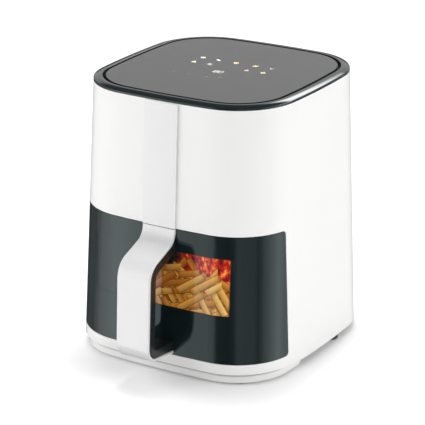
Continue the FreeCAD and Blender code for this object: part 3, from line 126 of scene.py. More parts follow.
# Grain of plastic and metal, with its depth in metres, and shares of a metal's roughness and tone
PLASTIC_GRAIN = 0.25
METAL_GRAIN = 0.2
METAL_GRAIN_DEPTH = 0.00003
METAL_SHINY = 0.75
METAL_DULL = 1.25
STAIN_DARK = -0.12
STAIN_PALE = 0.08
STAIN_SPAN = (0.25, 0.75)

# Clear glass and inks, in shares of their tone and roughness
GLASS_IOR = 1.5
GLASS_SMEAR = -0.03
GLASS_SHINY = 0.6
GLASS_DULL = 1.6
INK_DARK = -0.08
INK_PALE = 0.04
INK_ROUGHNESS = 0.3

# White gloss of the body, and the base with painted shade in the groove over its lip, heights in
# millimetres
WHITE_COLOUR = (0.875, 0.875, 0.868)
BASE_SPREAD = 0.016
BASE_GLOSS = (0.15, 0.18)
# Painted shade: the base turns grey over the fade height below the lip's top, and stays grey above it
GROOVE_SHADE_COLOUR = (0.33, 0.33, 0.33)
LIP_TOP_Z = 12.4
GROOVE_SHADE_FADE = 3.2

# Touch panel: grey face and black cut edges, told apart by the upward part of their direction
PANEL_TONES = ((0.031, 0.033, 0.031), (0.035, 0.037, 0.035))
PANEL_GLOSS = (0.22, 0.26)
PANEL_EDGE_COLOUR = (0.002, 0.002, 0.002)
PANEL_EDGE_ROUGHNESS = 0.8
PANEL_FACE_FROM = (0.4, 0.6)

# Pane and the frame of the design behind it: its left end in metres, its faded edges as shares of its size
PANE_COLOUR = (0.008, 0.0135, 0.0145)
PANE_GLOSS = (0.05, 0.09)
DESIGN_START_X = -0.049
LEFT_FADE = 0.12
RIGHT_FADE = 0.012
UPRIGHT_FADE = 0.015

# Glow in the design, which begins at a share of its width
GLOW_STRETCH = (1, 0, 0.6)
GLOW_TURN = (0, 0.5, 0)
GLOW_SPAN = (0.36, 0.68)
GLOW_FROM = (0.62, 0.86)
GLOW_RAGGED = 0.3
GLOW_TONES = (
    (0.0, (0.10, 0.008, 0.012)),
    (0.35, (0.45, 0.015, 0.012)),
    (0.62, (0.78, 0.06, 0.012)),
    (0.85, (0.95, 0.26, 0.04)),
    (1.0, (1.0, 0.66, 0.22)),
)

# Heap in the design, in metres, with its middle as a share of the design's width
HEAP_COLOUR = (0.30, 0.075, 0.012)
HEAP_TOP_Z = 0.137
HEAP_MIDDLE = 0.38
HEAP_FALL = 0.055
HEAP_EDGE = (-0.001, 0.006)

# Sticks of the heap, in metres, and their layers: an angle in radians and the share of places filled
STICK_LENGTH = 0.044
STICK_WIDTH = 0.0092
STICK_STAGGER = 0.37
LAYER_SHIFT = (0.013, 0, 0.007)
STICK_LAYERS = ((0.9, 0.8), (-0.5, 0.7), (2.2, 0.55), (0.25, 0.6), (-1.05, 0.4), (0.6, 0.35))

# Colours of a stick, and its outline, face and toasted ends as shares of its width or length
STICK_TONES = (
    (0.0, (0.50, 0.14, 0.02)),
    (0.35, (0.68, 0.27, 0.04)),
    (0.7, (0.82, 0.41, 0.08)),
    (1.0, (0.92, 0.58, 0.18)),
)
STICK_SHADES = (
    (0.0, (0.42, 0.40, 0.38)),
    (0.45, (0.80, 0.80, 0.80)),
    (0.75, (1.0, 1.0, 1.0)),
    (1.0, (0.8, 0.8, 0.8)),
)
OUTLINE_COLOUR = (0.16, 0.035, 0.006)
OUTLINE_SIDE = (0.0, 0.10)
OUTLINE_END = (0.0, 0.025)
FACE_SIDE = (0.08, 0.13)
FACE_END = (0.02, 0.035)
TOAST_COLOUR = (0.50, 0.13, 0.015)
TOAST_END = (0.16, 0.02)
TOAST_SPAN = (0.3, 0.6)
TOAST_SHARE = 0.75
CRUST_COLOUR = (0.66, 0.24, 0.03)
CRUST_SPAN = (0.52, 0.72)
CRUST_SHARE = 0.55

# Rim on top of the body, in millimetres
SIDE_BOW = 8.7
CORNER_RADIUS = 74.0
RIM_WALL_HEIGHT = 2.0
RIM_SHOULDER = (1.1, 1.4)
RIM_RUN = 7.2
RIM_TURN = 1.2
RIM_LAND = 3.3
RIM_EDGE = 0.5
RIM_LEDGE = 6.0
RIM_LEDGE_DROP = 3.4

# Share of the rim's slope after which it turns flat, and the steps of the rim's curves
RIM_TURN_FROM = 0.8
SIDE_STEPS = 14
CORNER_STEPS = 30
TURN_STEPS = 6

# Keys and digits on the touch panel, in millimetres from the panel's middle
KEY_COLUMNS = (-44.9, -23.4, 0.6, 27.1, 48.6)
KEY_SCALE = 1.15
KEY_ROW_BACK = 29.8
KEY_ROW_FRONT = 9.8
MARK_ROW = -38.0
POWER_PLACE = (15.3, -31.5)
DIGITS_CENTRE = (-0.7, -12.8)
DIGIT_SIZE = (4.0, 7.4)
DIGIT_STROKE = 0.78
DIGIT_GAP = 0.6 * DIGIT_STROKE
DIGIT_STEP = 5.6
DIGIT_LEAN = 0.14
BOLD_STROKE = 0.9
SIGN_STROKE = 0.8
WAVE_STROKE = 0.75
FINE_STROKE = 0.7
RAY_STROKE = 0.6
VEIN_STROKE = 0.5
PRINT_THICKNESS = 0.08
PRINT_LIFT = 0.02

# Steps of the signs' curves: degrees to a step of an arc, the fewest steps of an arc, corners of a dot
ARC_STEP = 12
ARC_LEAST = 3
SPOT_CORNERS = 24


def opaque(colour):
    """Colour with full alpha."""
    return (*colour, 1)


def tinted(colour, share):
    """Colour brightened or darkened by a share."""
    return tuple(min(1.0, part * (1 + share)) for part in colour)


class Graph:
    """Short way to write a node tree: values or sockets go in, sockets come out."""

    def __init__(self, tree):
        self.tree = tree

    def add(self, kind, inputs=None, **settings):
        made = self.tree.nodes.new(kind)
        for name, value in settings.items():
            setattr(made, name, value)
        for key, value in (inputs or {}).items():
            self.set(made.inputs[key], value)
        return made

    def set(self, socket, value):
        if isinstance(value, bpy.types.NodeSocket):
            self.tree.links.new(value, socket)
        else:
            socket.default_value = value

    def math(self, operation, first, second=0.0, third=0.0):
        inputs = {0: first, 1: second, 2: third}
        return self.add("ShaderNodeMath", inputs, operation=operation).outputs[0]

    def times(self, first, second):
        return self.math("MULTIPLY", first, second)

    def spread(self, value, low, high, to_low=0.0, to_high=1.0, kind="LINEAR"):
        inputs = {"Value": value, "From Min": low, "From Max": high, "To Min": to_low, "To Max": to_high}
        return self.add("ShaderNodeMapRange", inputs, interpolation_type=kind).outputs["Result"]

    def fade(self, value, low, high, to_low=0.0, to_high=1.0):
        return self.spread(value, low, high, to_low, to_high, "SMOOTHSTEP")

    def mix(self, share, first, second, blend="MIX"):
        inputs = {"Factor": share, "A": first, "B": second}
        return self.add("ShaderNodeMix", inputs, data_type="RGBA", blend_type=blend).outputs["Result"]

    def ramp(self, share, stops, kind="LINEAR"):
        made = self.add("ShaderNodeValToRGB", {"Fac": share})
        made.color_ramp.interpolation = kind
        elements = made.color_ramp.elements
        while len(elements) < len(stops):
            elements.new(0.5)
        for element, (place, colour) in zip(elements, stops):
            element.position = place
            element.color = opaque(colour)
        return made.outputs["Color"]

    def coordinates(self, kind="Object"):
        return self.add("ShaderNodeTexCoord").outputs[kind]

    def axes(self, vector):
        return self.add("ShaderNodeSeparateXYZ", {"Vector": vector}).outputs

    def scaled(self, vector, scale, turn=(0, 0, 0), move=(0, 0, 0)):
        inputs = {"Vector": vector, "Scale": scale, "Rotation": turn, "Location": move}
        return self.add("ShaderNodeMapping", inputs).outputs["Vector"]

    def noise(self, vector, scale, detail, rough=0.5):
        inputs = {"Vector": vector, "Scale": scale, "Detail": detail, "Roughness": rough}
        return self.add("ShaderNodeTexNoise", inputs).outputs["Fac"]

    def drift(self, vector, noise, first, second):
        """Colour that drifts between two tones over the surface."""
        return self.ramp(self.noise(vector, **noise), ((NOISE_LOW, first), (NOISE_HIGH, second)))

    def patches(self, vector, noise, shiny, dull):
        """Roughness that changes between two values over the surface."""
        return self.spread(self.noise(vector, **noise), NOISE_LOW, NOISE_HIGH, shiny, dull)

    def bump(self, height, strength, distance):
        inputs = {"Height": height, "Strength": strength, "Distance": distance}
        return self.add("ShaderNodeBump", inputs).outputs["Normal"]


def material(name):
    """New material with an empty Principled surface, as (material, graph, shader)."""
    made = bpy.data.materials.new(name)
    made.use_nodes = True
    made.node_tree.nodes.clear()
    graph = Graph(made.node_tree)
    shader = graph.add("ShaderNodeBsdfPrincipled")
    graph.add("ShaderNodeOutputMaterial", {"Surface": shader.outputs["BSDF"]})
    return made, graph, shader


def moulded(
    name, colour, roughness, spread=0.06, grain=2500.0, grain_depth=0.00002, uneven=0.12, sockets=None
):
    """Moulded plastic or rubber: slight colour drift, uneven gloss and a fine grain."""
    made, graph, shader = material(name)
    place = graph.coordinates()
    tone = graph.drift(place, DRIFT_NOISE, tinted(colour, -spread / 2), tinted(colour, spread / 2))
    graph.set(shader.inputs["Base Color"], tone)
    shiny = roughness * (1 - uneven)
    dull = roughness * (1 + uneven)
    graph.set(shader.inputs["Roughness"], graph.patches(place, PATCH_NOISE, shiny, dull))
    fine = graph.noise(place, scale=grain, detail=2.0)
    graph.set(shader.inputs["Normal"], graph.bump(fine, PLASTIC_GRAIN, grain_depth))
    for key, value in (sockets or {}).items():
        shader.inputs[key].default_value = value
    return made


def metal(name, colour, roughness, stretch=(1, 1, 1), grain=900.0):
    """Bare or plated metal with a drawn grain along the least stretched direction."""
    made, graph, shader = material(name)
    place = graph.coordinates()
    lines = graph.noise(graph.scaled(place, stretch), scale=grain, detail=3.0, rough=0.7)
    stains = graph.noise(place, **STAIN_NOISE)
    tones = (tinted(colour, STAIN_DARK), tinted(colour, STAIN_PALE))
    graph.set(shader.inputs["Base Color"], graph.ramp(stains, tuple(zip(STAIN_SPAN, tones))))
    gloss = graph.spread(lines, NOISE_LOW, NOISE_HIGH, roughness * METAL_SHINY, roughness * METAL_DULL)
    graph.set(shader.inputs["Roughness"], gloss)
    graph.set(shader.inputs["Normal"], graph.bump(lines, METAL_GRAIN, METAL_GRAIN_DEPTH))
    shader.inputs["Metallic"].default_value = 1.0
    return made


def clear(name, colour, roughness=0.03):
    """Clear glass with a faint smear in its gloss."""
    made, graph, shader = material(name)
    place = graph.coordinates()
    gloss = graph.patches(place, SMEAR_NOISE, roughness * GLASS_SHINY, roughness * GLASS_DULL)
    graph.set(shader.inputs["Roughness"], gloss)
    tone = graph.drift(place, SMEAR_NOISE, tinted(colour, GLASS_SMEAR), colour)
    graph.set(shader.inputs["Base Color"], tone)
    shader.inputs["Transmission Weight"].default_value = 1.0
    shader.inputs["IOR"].default_value = GLASS_IOR
    return made


def nearer_end(graph, share):
    """Distance to the nearer end of a run from 0 to 1."""
    return graph.math("MINIMUM", share, graph.math("SUBTRACT", 1.0, share))


def stick_layer(graph, place, below, angle, number, share, crest):
    """Layer of golden sticks, all at one angle, laid over the colour below and kept under the crest."""
    shift = tuple(part * number for part in LAYER_SHIFT)
    turned = graph.scaled(place, (1, 0, 1), (0, angle, 0), shift)
    parts = graph.axes(turned)
    rows = graph.math("DIVIDE", parts["Z"], STICK_WIDTH)
    row = graph.math("FLOOR", rows)
    across = graph.math("FRACT", rows)
    runs = graph.math("DIVIDE", parts["X"], STICK_LENGTH)
    columns = graph.math("MULTIPLY_ADD", row, STICK_STAGGER, runs)
    column = graph.math("FLOOR", columns)
    along = graph.math("FRACT", columns)
    cell = graph.add("ShaderNodeCombineXYZ", {"X": column, "Y": row, "Z": float(number)})
    chance = graph.add("ShaderNodeTexWhiteNoise", {"Vector": cell.outputs[0]}, noise_dimensions="3D")
    pick = graph.add("ShaderNodeSeparateColor", {"Color": chance.outputs["Color"]}).outputs

    # Height of the stick's middle, turned back to the window's own directions
    stagger = graph.math("MULTIPLY_ADD", row, STICK_STAGGER, -0.5)
    middle_x = graph.times(graph.math("SUBTRACT", column, stagger), STICK_LENGTH)
    middle_z = graph.times(graph.math("ADD", row, 0.5), STICK_WIDTH)
    middle = graph.add("ShaderNodeCombineXYZ", {"X": middle_x, "Z": middle_z})
    moved = graph.add("ShaderNodeVectorMath", {0: middle.outputs[0], 1: shift}, operation="SUBTRACT")
    turn_back = {"Vector": moved.outputs[0], "Angle": -angle}
    home = graph.add("ShaderNodeVectorRotate", turn_back, rotation_type="Y_AXIS")
    height = graph.axes(home.outputs[0])["Z"]
    chosen = graph.math("LESS_THAN", pick["Red"], share)
    kept = graph.times(chosen, graph.math("LESS_THAN", height, crest))

    side = nearer_end(graph, across)
    end = nearer_end(graph, along)
    outline = graph.times(graph.fade(side, *OUTLINE_SIDE), graph.fade(end, *OUTLINE_END))
    face = graph.times(graph.fade(side, *FACE_SIDE), graph.fade(end, *FACE_END))
    tone = graph.ramp(pick["Green"], STICK_TONES)
    crust = graph.noise(turned, **CRUST_NOISE)
    toasted = graph.times(graph.fade(end, *TOAST_END, 0.0, TOAST_SHARE), graph.spread(crust, *TOAST_SPAN))
    tone = graph.mix(toasted, tone, opaque(TOAST_COLOUR))
    tone = graph.mix(graph.fade(crust, *CRUST_SPAN, 0.0, CRUST_SHARE), tone, opaque(CRUST_COLOUR))
    stick = graph.mix(1.0, tone, graph.ramp(across, STICK_SHADES), "MULTIPLY")
    outlined = graph.mix(graph.times(outline, kept), below, opaque(OUTLINE_COLOUR))
    return graph.mix(graph.times(face, kept), outlined, stick)


def window_design():
    """Tinted pane with a generic warm design: a heap of golden sticks beside a red glow."""
    made, graph, shader = material("window_design")
    place = graph.coordinates()
    parts = graph.axes(place)
    across = graph.spread(parts["X"], DESIGN_START_X, pane_high.x)
    up = graph.spread(parts["Z"], pane_low.z, pane_high.z)

    flicker = graph.noise(graph.scaled(place, GLOW_STRETCH, GLOW_TURN), **GLOW_NOISE)
    glow = graph.ramp(graph.fade(flicker, *GLOW_SPAN), GLOW_TONES)
    reach = graph.fade(graph.math("MULTIPLY_ADD", flicker, GLOW_RAGGED, across), *GLOW_FROM)
    shown = graph.mix(reach, opaque(PANE_COLOUR), glow)

    from_middle = graph.math("SUBTRACT", across, HEAP_MIDDLE)
    crest = graph.math("MULTIPLY_ADD", graph.times(from_middle, from_middle), -HEAP_FALL, HEAP_TOP_Z)
    heap = graph.fade(graph.math("SUBTRACT", crest, parts["Z"]), *HEAP_EDGE)
    shown = graph.mix(heap, shown, opaque(HEAP_COLOUR))
    for number, (angle, share) in enumerate(STICK_LAYERS, 1):
        shown = stick_layer(graph, place, shown, angle, number, share, crest)

    edge = graph.times(graph.fade(across, 0.0, LEFT_FADE), graph.spread(across, 1.0, 1 - RIGHT_FADE))
    edge = graph.times(edge, graph.spread(up, 0.0, UPRIGHT_FADE))
    edge = graph.times(edge, graph.spread(up, 1.0, 1 - UPRIGHT_FADE))
    graph.set(shader.inputs["Base Color"], graph.mix(edge, opaque(PANE_COLOUR), shown))
    graph.set(shader.inputs["Roughness"], graph.patches(place, PANE_NOISE, *PANE_GLOSS))
    shader.inputs["Specular Tint"].default_value = COOL_TINT
    return made


def touch_glass():
    """Grey touch panel, black on its cut edges."""
    made, graph, shader = material("grey_panel")
    place = graph.coordinates()
    face = graph.drift(place, DRIFT_NOISE, *PANEL_TONES)
    facing = graph.axes(graph.add("ShaderNodeNewGeometry").outputs["Normal"])
    top = graph.spread(facing["Z"], *PANEL_FACE_FROM)
    graph.set(shader.inputs["Base Color"], graph.mix(top, opaque(PANEL_EDGE_COLOUR), face))
    gloss = graph.patches(place, PATCH_NOISE, *PANEL_GLOSS)
    graph.set(shader.inputs["Roughness"], graph.spread(top, 0.0, 1.0, PANEL_EDGE_ROUGHNESS, gloss))
    return made


def base_with_painted_groove_shade():
    """White gloss of the base, with painted shade that turns it grey towards the groove over its lip and
    above.
    """
    made, graph, shader = material("base_white")
    place = graph.coordinates()
    darker = tinted(WHITE_COLOUR, -BASE_SPREAD / 2)
    paler = tinted(WHITE_COLOUR, BASE_SPREAD / 2)
    face = graph.drift(place, DRIFT_NOISE, darker, paler)
    # Painted shade: grey that grows up the top of the lip into the groove under the housing's edge
    depth = graph.fade(graph.axes(place)["Z"], (LIP_TOP_Z - GROOVE_SHADE_FADE) * MM, LIP_TOP_Z * MM)
    graph.set(shader.inputs["Base Color"], graph.mix(depth, face, opaque(GROOVE_SHADE_COLOUR)))
    graph.set(shader.inputs["Roughness"], graph.patches(place, PATCH_NOISE, *BASE_GLOSS))
    shader.inputs["Specular IOR Level"].default_value = LOW_GLARE
    return made


def lit(name, colour, strength):
    """Printed or backlit ink: its tone is uneven over its face, and so is its glow where it has one."""
    made, graph, shader = material(name)
    place = graph.coordinates()
    shade = graph.drift(place, INK_NOISE, tinted(colour, INK_DARK), tinted(colour, INK_PALE))
    graph.set(shader.inputs["Base Color"], shade)
    graph.set(shader.inputs["Emission Color"], shade)
    shader.inputs["Emission Strength"].default_value = strength
    shader.inputs["Roughness"].default_value = INK_ROUGHNESS
    return made


# Materials
WHITE = moulded(
    "white_gloss", WHITE_COLOUR, roughness=0.16, spread=0.015, grain_depth=0.000004,
    sockets={"Specular IOR Level": LOW_GLARE},
)
STRAP = moulded(
    "satin_white", (0.75, 0.75, 0.755), roughness=0.3, spread=0.01, grain=1800.0, grain_depth=0.0000002,
    uneven=0.01, sockets={"Metallic": 0.12},
)
FRONT = moulded(
    "dark_front", (0.006, 0.0115, 0.0125), roughness=0.07, spread=0.12, grain=3000.0, grain_depth=0.000004,
    sockets={"Specular Tint": COOL_TINT},
)
SOFT = moulded(
    "soft_black", (0.008, 0.008, 0.008), roughness=0.8, spread=0.2, grain=1200.0, grain_depth=0.00006,
    sockets={"Specular IOR Level": 0.2},
)
FEET = moulded(
    "foot_rubber", (0.03, 0.03, 0.03), roughness=0.6, spread=0.1, grain=1200.0, grain_depth=0.00006
)
NON_STICK = moulded(
    "non_stick", (0.028, 0.029, 0.031), roughness=0.33, spread=0.2, grain=1600.0, grain_depth=0.00006
)
RIM = moulded("dark_rim", (0.010, 0.016, 0.017), roughness=0.10, spread=0.2)
DARK = moulded("dark_plastic", (0.022, 0.025, 0.027), roughness=0.42, spread=0.15)
GRIP = moulded("dark_grip", (0.012, 0.015, 0.015), roughness=0.25, spread=0.15)
CERAMIC = moulded("insulator", (0.80, 0.77, 0.70), roughness=0.5)
BOARD = moulded("board", (0.015, 0.11, 0.045), roughness=0.3, spread=0.1)
DEVICE = moulded("device", (0.018, 0.018, 0.02), roughness=0.45, spread=0.2)
BASE = base_with_painted_groove_shade()
PANEL = touch_glass()
WINDOW = window_design()
CLEAR = clear("clear_glass", (0.97, 0.99, 0.98))
SHEET = metal("sheet_steel", (0.58, 0.58, 0.57), roughness=0.34, stretch=(1, 40, 40))
ZINC = metal("zinc_steel", (0.63, 0.63, 0.61), roughness=0.3, stretch=(1, 1, 30), grain=1500.0)
SHEATH = metal("heater_sheath", (0.16, 0.14, 0.12), roughness=0.5, grain=700.0)
MOTOR = metal("motor_can", (0.42, 0.42, 0.44), roughness=0.4, stretch=(1, 1, 30))
BRASS = metal("brass", (0.78, 0.57, 0.24), roughness=0.3, stretch=(30, 1, 30))
INKS = {
    "white": lit("lit_white", (0.95, 0.93, 0.90), strength=0.75),
    "soft": lit("lit_soft", (0.85, 0.84, 0.82), strength=0.55),
    "yellow": lit("lit_yellow", (0.95, 0.84, 0.50), strength=0.7),
    "orange": lit("lit_orange", (0.96, 0.72, 0.40), strength=0.7),
    "pink": lit("lit_pink", (0.85, 0.68, 0.66), strength=0.6),
    "pale": lit("lit_pale", (0.85, 0.74, 0.70), strength=0.6),
    "dim": lit("print_dim", (0.26, 0.27, 0.26), strength=0.0),
    "red": lit("print_red", (0.28, 0.16, 0.15), strength=0.0),
}

# Materials of the record's slots, and of the nodes that have one of their own
LOOKS = {
    "shell_white": WHITE,
    "strap_white": STRAP,
    "rim_dark": RIM,
    "panel_grey": PANEL,
    "front_dark": FRONT,
    "window_glass": WINDOW,
    "clear_glass": CLEAR,
    "dark_plastic": DARK,
    "sheet_steel": SHEET,
    "heater_sheath": SHEATH,
    "insulator_white": CERAMIC,
    "non_stick": NON_STICK,
    "soft_black": SOFT,
    "zinc_steel": ZINC,
    "motor_grey": MOTOR,
    "board_green": BOARD,
    "device_black": DEVICE,
    "standoff_brass": BRASS,
}
OWN_LOOKS = {"rubber_feet": FEET, "handle_grip": GRIP, "base_cover": BASE}

for part in frame["record"]["subparts"]:
    mesh = frame["nodes"][part["node"]].data
    mesh.materials.clear()
    mesh.materials.append(OWN_LOOKS.get(part["node"], LOOKS[part["material_slot"]]))


def keep_sharp(mesh, degrees=35):
    """Smooth shading with the real edges kept sharp."""
    mesh.shade_smooth()
    mesh.set_sharp_from_angle(angle=math.radians(degrees))


def new_piece(name, form, look, body):
    """Mesh object from a bmesh, riding on a body."""
    mesh = bpy.data.meshes.new(name)
    form.to_mesh(mesh)
    form.free()
    keep_sharp(mesh)
    mesh.materials.append(look)
    piece = bpy.data.objects.new(name, mesh)
    bpy.context.scene.collection.objects.link(piece)
    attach(piece, body)
    return piece


def top_outline(inset):
    """Points of the body's top outline, moved in by inset, in millimetres about the body's middle."""
    half_width = (rim_high.x - rim_low.x) / 2 / MM
    half_depth = (rim_high.y - rim_low.y) / 2 / MM
    side_radius = (half_depth**2 + SIDE_BOW**2) / (2 * SIDE_BOW)
    front_radius = (half_width**2 + SIDE_BOW**2) / (2 * SIDE_BOW)
    side_x = half_width - side_radius
    back_y = half_depth - front_radius

    # Centre of the corner's arc, which touches the side's arc and the back's arc from within
    to_side = side_radius - CORNER_RADIUS
    to_back = front_radius - CORNER_RADIUS
    apart = math.hypot(side_x, back_y)
    along = (to_side**2 - to_back**2 + apart**2) / (2 * apart)
    across = math.sqrt(to_side**2 - along**2)
    unit_x = -side_x / apart
    unit_y = back_y / apart
    corner = (side_x + unit_x * along - unit_y * across, unit_y * along + unit_x * across)
    side_angle = math.atan2(corner[1], corner[0] - side_x)
    back_angle = math.atan2(corner[1] - back_y, corner[0])

    quarter = []
    for centre, radius, start, end, steps in (
        ((side_x, 0), side_radius, 0, side_angle, SIDE_STEPS),
        (corner, CORNER_RADIUS, side_angle, back_angle, CORNER_STEPS),
        ((0, back_y), front_radius, back_angle, math.pi / 2, SIDE_STEPS),
    ):
        reach = radius - inset
        for step in range(steps):
            angle = start + (end - start) * step / steps
            quarter.append((centre[0] + reach * math.cos(angle), centre[1] + reach * math.sin(angle)))
    back = (0, half_depth - inset)
    left = [(-x, y) for x, y in reversed(quarter)]
    rear_half = quarter + [back] + left
    front_half = [(-x, -y) for x, y in rear_half[1:]]
    return rear_half + front_half[:-1]


def between(start, end, share):
    """Point on the way from start to end."""
    return tuple(a + (b - a) * share for a, b in zip(start, end))


def rounded_corner(start, corner, end):
    """Points of a smooth turn from start to end, bent towards the corner."""
    points = []
    for step in range(TURN_STEPS + 1):
        share = step / TURN_STEPS
        points.append(between(between(start, corner, share), between(corner, end, share), share))
    return points


def rim_section():
    """Rim's section as insets and heights in millimetres, and how many points come before its recess."""
    wall_z = HOUSING_TOP_Z / MM
    top_z = rim_high.z / MM
    edge_z = wall_z + RIM_WALL_HEIGHT
    ledge_z = top_z - RIM_LEDGE_DROP
    inner = RIM_RUN + RIM_LAND
    shoulder_run, shoulder_rise = RIM_SHOULDER
    slope_start = (shoulder_run, edge_z + shoulder_rise)
    slope_end = (RIM_RUN, top_z)
    before_end = between(slope_start, slope_end, RIM_TURN_FROM)
    points = [(0, wall_z)]
    points += rounded_corner((0, edge_z), (0, edge_z + shoulder_rise / 2), slope_start)
    points += rounded_corner(before_end, slope_end, (RIM_RUN + RIM_TURN, top_z))
    points += rounded_corner((inner - RIM_EDGE, top_z), (inner, top_z), (inner, top_z - RIM_EDGE))
    recess_start = len(points) - 1
    points += [(inner, ledge_z), (inner + RIM_LEDGE, ledge_z), (inner + RIM_LEDGE, wall_z)]
    return points, recess_start


def rim():
    """Dark rim round the touch panel: a low wall, a sloping band, a flat land and a recess."""
    points, recess_start = rim_section()
    form = bmesh.new()
    rings = []
    for inset, z in points:
        outline = top_outline(inset)
        rings.append([form.verts.new((x * MM, BODY_Y + y * MM, z * MM)) for x, y in outline])
    for level, (ring, following) in enumerate(zip(rings, rings[1:] + rings[:1])):
        for index in range(len(ring)):
            other = (index + 1) % len(ring)
            face = form.faces.new((ring[index], ring[other], following[other], following[index]))
            face.material_index = 1 if level >= recess_start else 0
    bmesh.ops.recalc_face_normals(form, faces=form.faces)
    piece = new_piece("smooth_rim", form, RIM, "housing")
    piece.data.materials.append(SOFT)
    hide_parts("top_rim")


def bar(start, end, width):
    """Corners of a straight bar."""
    first = Vector(start)
    last = Vector(end)
    run = (last - first).normalized()
    side = Vector((-run.y, run.x)) * (width / 2)
    return [tuple(first + side), tuple(first - side), tuple(last - side), tuple(last + side)]


def around(turn, radius):
    """Point at an angle in radians and a radius."""
    return radius * math.cos(turn), radius * math.sin(turn)


def arc_band(radius, width, start, end, centre=(0, 0)):
    """Bars that make up an arc, angles in degrees."""
    steps = max(ARC_LEAST, int(abs(end - start) / ARC_STEP))
    turns = [math.radians(start + (end - start) * step / steps) for step in range(steps + 1)]
    inner = radius - width / 2
    outer = radius + width / 2
    bands = []
    for turn, following in zip(turns, turns[1:]):
        outside = [around(turn, outer), around(following, outer)]
        inside = [around(following, inner), around(turn, inner)]
        bands.append([(centre[0] + x, centre[1] + y) for x, y in outside + inside])
    return bands


def spot(radius, centre=(0, 0)):
    """Round dot."""
    corners = [around(2 * math.pi * step / SPOT_CORNERS, radius) for step in range(SPOT_CORNERS)]
    return [(centre[0] + x, centre[1] + y) for x, y in corners]


def printed(name, polygons, place, ink, scale=1.0):
    """Thin print on the touch panel made of flat polygons."""
    form = bmesh.new()
    bottom = PANEL_TOP_Z + PRINT_LIFT * MM
    for polygon in polygons:
        corners = [((place[0] + x * scale) * MM, BODY_Y + (place[1] + y * scale) * MM) for x, y in polygon]
        face = form.faces.new([form.verts.new((x, y, bottom)) for x, y in corners])
        raised = bmesh.ops.extrude_face_region(form, geom=[face])
        moved = [item for item in raised["geom"] if isinstance(item, bmesh.types.BMVert)]
        bmesh.ops.translate(form, verts=moved, vec=(0, 0, PRINT_THICKNESS * MM))
    bmesh.ops.recalc_face_normals(form, faces=form.faces)
    new_piece(name, form, INKS[ink], "housing")


def keys():
    """Backlit key signs in two rows on the touch panel."""
    sticks = [bar((x - 0.7, -2.3), (x + 0.7, 2.3), BOLD_STROKE) for x in (-1.7, 0, 1.7)]
    target = arc_band(2.3, SIGN_STROKE, 0, 360) + [spot(0.9)]
    waves = []
    for y in (-1.6, 1.2):
        waves += arc_band(1.2, WAVE_STROKE, 180, 0, (-1.2, y))
        waves += arc_band(1.2, WAVE_STROKE, 0, -180, (1.2, y))
    wedge = [
        bar((-2.3, -1.9), (2.3, -1.9), BOLD_STROKE),
        bar((-2.1, -1.9), (0, 2.4), BOLD_STROKE),
        bar((2.1, -1.9), (0, 2.4), BOLD_STROKE),
        spot(0.7, (0, -0.4)),
    ]
    leaf = arc_band(2.9, SIGN_STROKE, 200, 290, (1.9, 1.9))
    leaf += arc_band(2.9, SIGN_STROKE, 20, 110, (-1.9, -1.9))
    leaf += [bar((-1.6, -1.6), (1.2, 1.2), VEIN_STROKE)]
    bowl = arc_band(2.4, SIGN_STROKE, 180, 360, (0, 0.6))
    bowl += [bar((-2.8, 0.6), (2.8, 0.6), SIGN_STROKE), spot(0.6, (-0.9, 1.9)), spot(0.6, (0.9, 1.9))]
    cake = [bar((-2.2, y), (2.2, y), SIGN_STROKE) for y in (-1.9, -0.3)]
    cake += [bar((0, 0), (0, 2.2), FINE_STROKE)]
    dots = [spot(0.75, around(turn, 1.6)) for turn in (0.5, 2.6, 4.7)]
    sun = arc_band(1.7, SIGN_STROKE, 0, 360)
    for quarter in range(4):
        turn = quarter * math.pi / 2
        sun.append(bar(around(turn, 2.3), around(turn, 3), RAY_STROKE))
    back_row = ((bowl, "white"), (leaf, "white"), (target, "orange"), (sticks, "orange"), (dots, "pink"))
    front_row = ((wedge, "yellow"), (waves, "pale"), None, (cake, "pink"), (sun, "yellow"))
    for row_name, y, signs in (("back", KEY_ROW_BACK, back_row), ("front", KEY_ROW_FRONT, front_row)):
        for column, sign in enumerate(signs):
            if sign:
                printed(f"key_{row_name}_{column}", sign[0], (KEY_COLUMNS[column], y), sign[1], KEY_SCALE)


def marks():
    """Plain printed marks at the front of the touch panel."""
    minus = [bar((-2, 0), (2, 0), FINE_STROKE)]
    plus = minus + [bar((0, -2), (0, 2), FINE_STROKE)]
    corners = ((-1.4, -2), (-1.4, 2), (2, 0))
    start_sign = [
        bar(corners[0], corners[1], FINE_STROKE),
        bar(corners[1], corners[2], FINE_STROKE),
        bar(corners[0], corners[2], FINE_STROKE),
    ]
    for column, mark in enumerate((minus, plus, start_sign)):
        printed(f"mark_{column}", mark, (KEY_COLUMNS[column], MARK_ROW), "dim")
    power = arc_band(2.2, FINE_STROKE, 120, 420) + [bar((0, 0.6), (0, 3.0), FINE_STROKE)]
    printed("mark_power", power, POWER_PLACE, "red")


def digits():
    """Three lit digits in strokes on the touch panel."""
    right = DIGIT_SIZE[0] / 2
    top = DIGIT_SIZE[1] / 2
    run = right - DIGIT_GAP
    rise = top - DIGIT_GAP
    strokes = {
        "top": ((-run, top), (run, top)),
        "middle": ((-run, 0), (run, 0)),
        "bottom": ((-run, -top), (run, -top)),
        "upper_left": ((-right, DIGIT_GAP), (-right, rise)),
        "upper_right": ((right, DIGIT_GAP), (right, rise)),
        "lower_left": ((-right, -rise), (-right, -DIGIT_GAP)),
        "lower_right": ((right, -rise), (right, -DIGIT_GAP)),
    }
    one = ("upper_right", "lower_right")
    eight = tuple(strokes)
    zero = tuple(name for name in strokes if name != "middle")
    for index, names in enumerate((one, eight, zero)):
        bars = [bar(*strokes[name], DIGIT_STROKE) for name in names]
        leaned = [[(x + y * DIGIT_LEAN, y) for x, y in corners] for corners in bars]
        place = (DIGITS_CENTRE[0] + (index - 1) * DIGIT_STEP, DIGITS_CENTRE[1])
        printed(f"digit_{index}", leaned, place, "soft")


